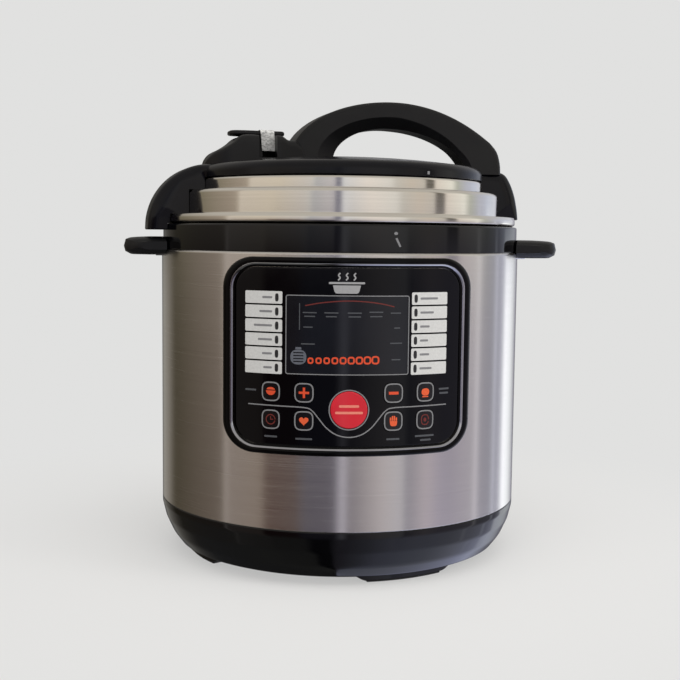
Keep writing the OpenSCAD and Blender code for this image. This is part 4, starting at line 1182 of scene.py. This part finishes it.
BODY_MIDDLE_Z = 0.17


def surroundings():
    """A room of soft vertical panels that only reflections see, in front of a plain pale ground."""
    world = bpy.data.worlds.new("studio")
    bpy.context.scene.world = world
    world.use_nodes = True
    tree = world.node_tree
    direction = add_node(tree, "TexCoord").outputs["Generated"]
    parts = add_node(tree, "SeparateXYZ", {"Vector": direction}).outputs

    def maths(operation, a, b):
        return add_node(tree, "Math", {0: a, 1: b}, operation=operation).outputs[0]

    def rise(start, end, axis="Z"):
        return add_node(tree, "MapRange", {"Value": parts[axis], "From Min": start,
                                           "From Max": end}).outputs["Result"]

    def blend(factor, first, second):
        sockets = {"Factor": factor, "A": first, "B": second}
        return add_node(tree, "Mix", sockets, data_type="RGBA").outputs["Result"]

    turn = maths("ARCTAN2", parts["X"], maths("MULTIPLY", parts["Y"], -1))
    share = maths("ADD", maths("DIVIDE", turn, tau), 0.5)
    low, high, below = [colour_ramp(tree, share, stops)
                        for stops in (LOW_SURROUNDINGS, HIGH_SURROUNDINGS, TABLE_SURROUNDINGS)]
    above = blend(rise(0.12, 0.6), blend(rise(-0.03, 0.03), low, high), (*CEILING, 1))
    table = blend(rise(0.62, 0.9, "Y"), below, (*SHADE, 1))
    room = blend(rise(-0.28, -0.7), above, table)
    camera_ray = add_node(tree, "LightPath").outputs["Is Camera Ray"]
    tree.links.new(blend(camera_ray, room, (*BACKGROUND, 1)), tree.nodes["Background"].inputs["Color"])


def softbox(name, azimuth, elevation, distance, size, power, colour=(1, 1, 1)):
    """A soft light aimed at the middle of the body, which reflections don't see."""
    a, e = radians(azimuth), radians(elevation)
    out = Vector((sin(a) * cos(e), -cos(a) * cos(e), sin(e)))
    light = bpy.data.lights.new(name, "AREA")
    light.shape = "RECTANGLE"
    light.size, light.size_y = size
    light.energy = power
    light.color = colour
    lamp = bpy.data.objects.new(name, light)
    lamp.location = out * distance + Vector((0, 0, BODY_MIDDLE_Z))
    lamp.rotation_mode = "QUATERNION"
    lamp.rotation_quaternion = out.to_track_quat("Z", "Y")
    lamp.visible_glossy = False
    bpy.context.scene.collection.objects.link(lamp)


def floor_material():
    """Pale matt ground that passes into the colour of the background away from the object."""
    s = Surface("floor", (0.93, 0.93, 0.925), 0.8)
    s.tint(s.noise(3), 0.01)
    s.rough(s.noise(40), 0.75, 0.85)
    far = s.add("Emission", {"Color": (*BACKGROUND, 1)})
    distance = s.add("VectorMath", {0: s.coords}, operation="LENGTH")
    fade = s.spread(distance.outputs["Value"], 0.62, 1, 0.14, 0.45)
    mix = s.add("MixShader", {"Fac": fade, 1: s.shader.outputs["BSDF"], 2: far.outputs["Emission"]})
    s.tree.links.new(mix.outputs["Shader"], s.tree.nodes["Material Output"].inputs["Surface"])
    return s.material


def studio():
    surroundings()
    bpy.context.scene.view_settings.view_transform = "Standard"
    softbox("top_light", 10, 68, 1.7, (1.6, 1.2), 16)
    softbox("right_light", 62, 24, 1.8, (0.5, 1.4), 9, (1, 0.98, 0.97))
    count, floor_r, floor_z = 96, 7000, -0.05
    points = [(0, 0, floor_z)] + at_height(circle(0, 0, floor_r, count), floor_z)
    floor = new_object("floor", (points, [[0, 1 + k, 1 + (k + 1) % count] for k in range(count)]))
    floor.data.materials.append(floor_material())
    floor.visible_glossy = False


def camera():
    """Camera at the height of the panel, a little left of the middle, looking slightly down."""
    heading, pitch, roll = radians(3.06), radians(5.213), radians(0.626)
    data = bpy.data.cameras.new("camera")
    data.lens = 59.44
    data.sensor_width = 36
    view = bpy.data.objects.new("camera", data)
    view.matrix_world = (Matrix.Rotation(-heading, 4, "Z") @ Matrix.Rotation(pi / 2 - pitch, 4, "X")
                         @ Matrix.Rotation(roll, 4, "Z"))
    view.location = (-0.0443, -0.8456, 0.2304)
    bpy.context.scene.collection.objects.link(view)
    bpy.context.scene.camera = view


camera()
studio()
finish_cad_nodes()
base_bowl()
feet()
shell_skin()
collar()
for side_name, side in (("side_handle_left", -1), ("side_handle_right", 1)):
    side_handle(side_name, side)
bezel_frame()
glossy_sheet()
screen()
labels()
panel_lines()
emblem()
keys()
menu_button()
key_bars()
lid_pan()
cover_dome()
ears()
handle()
valve()
cup()
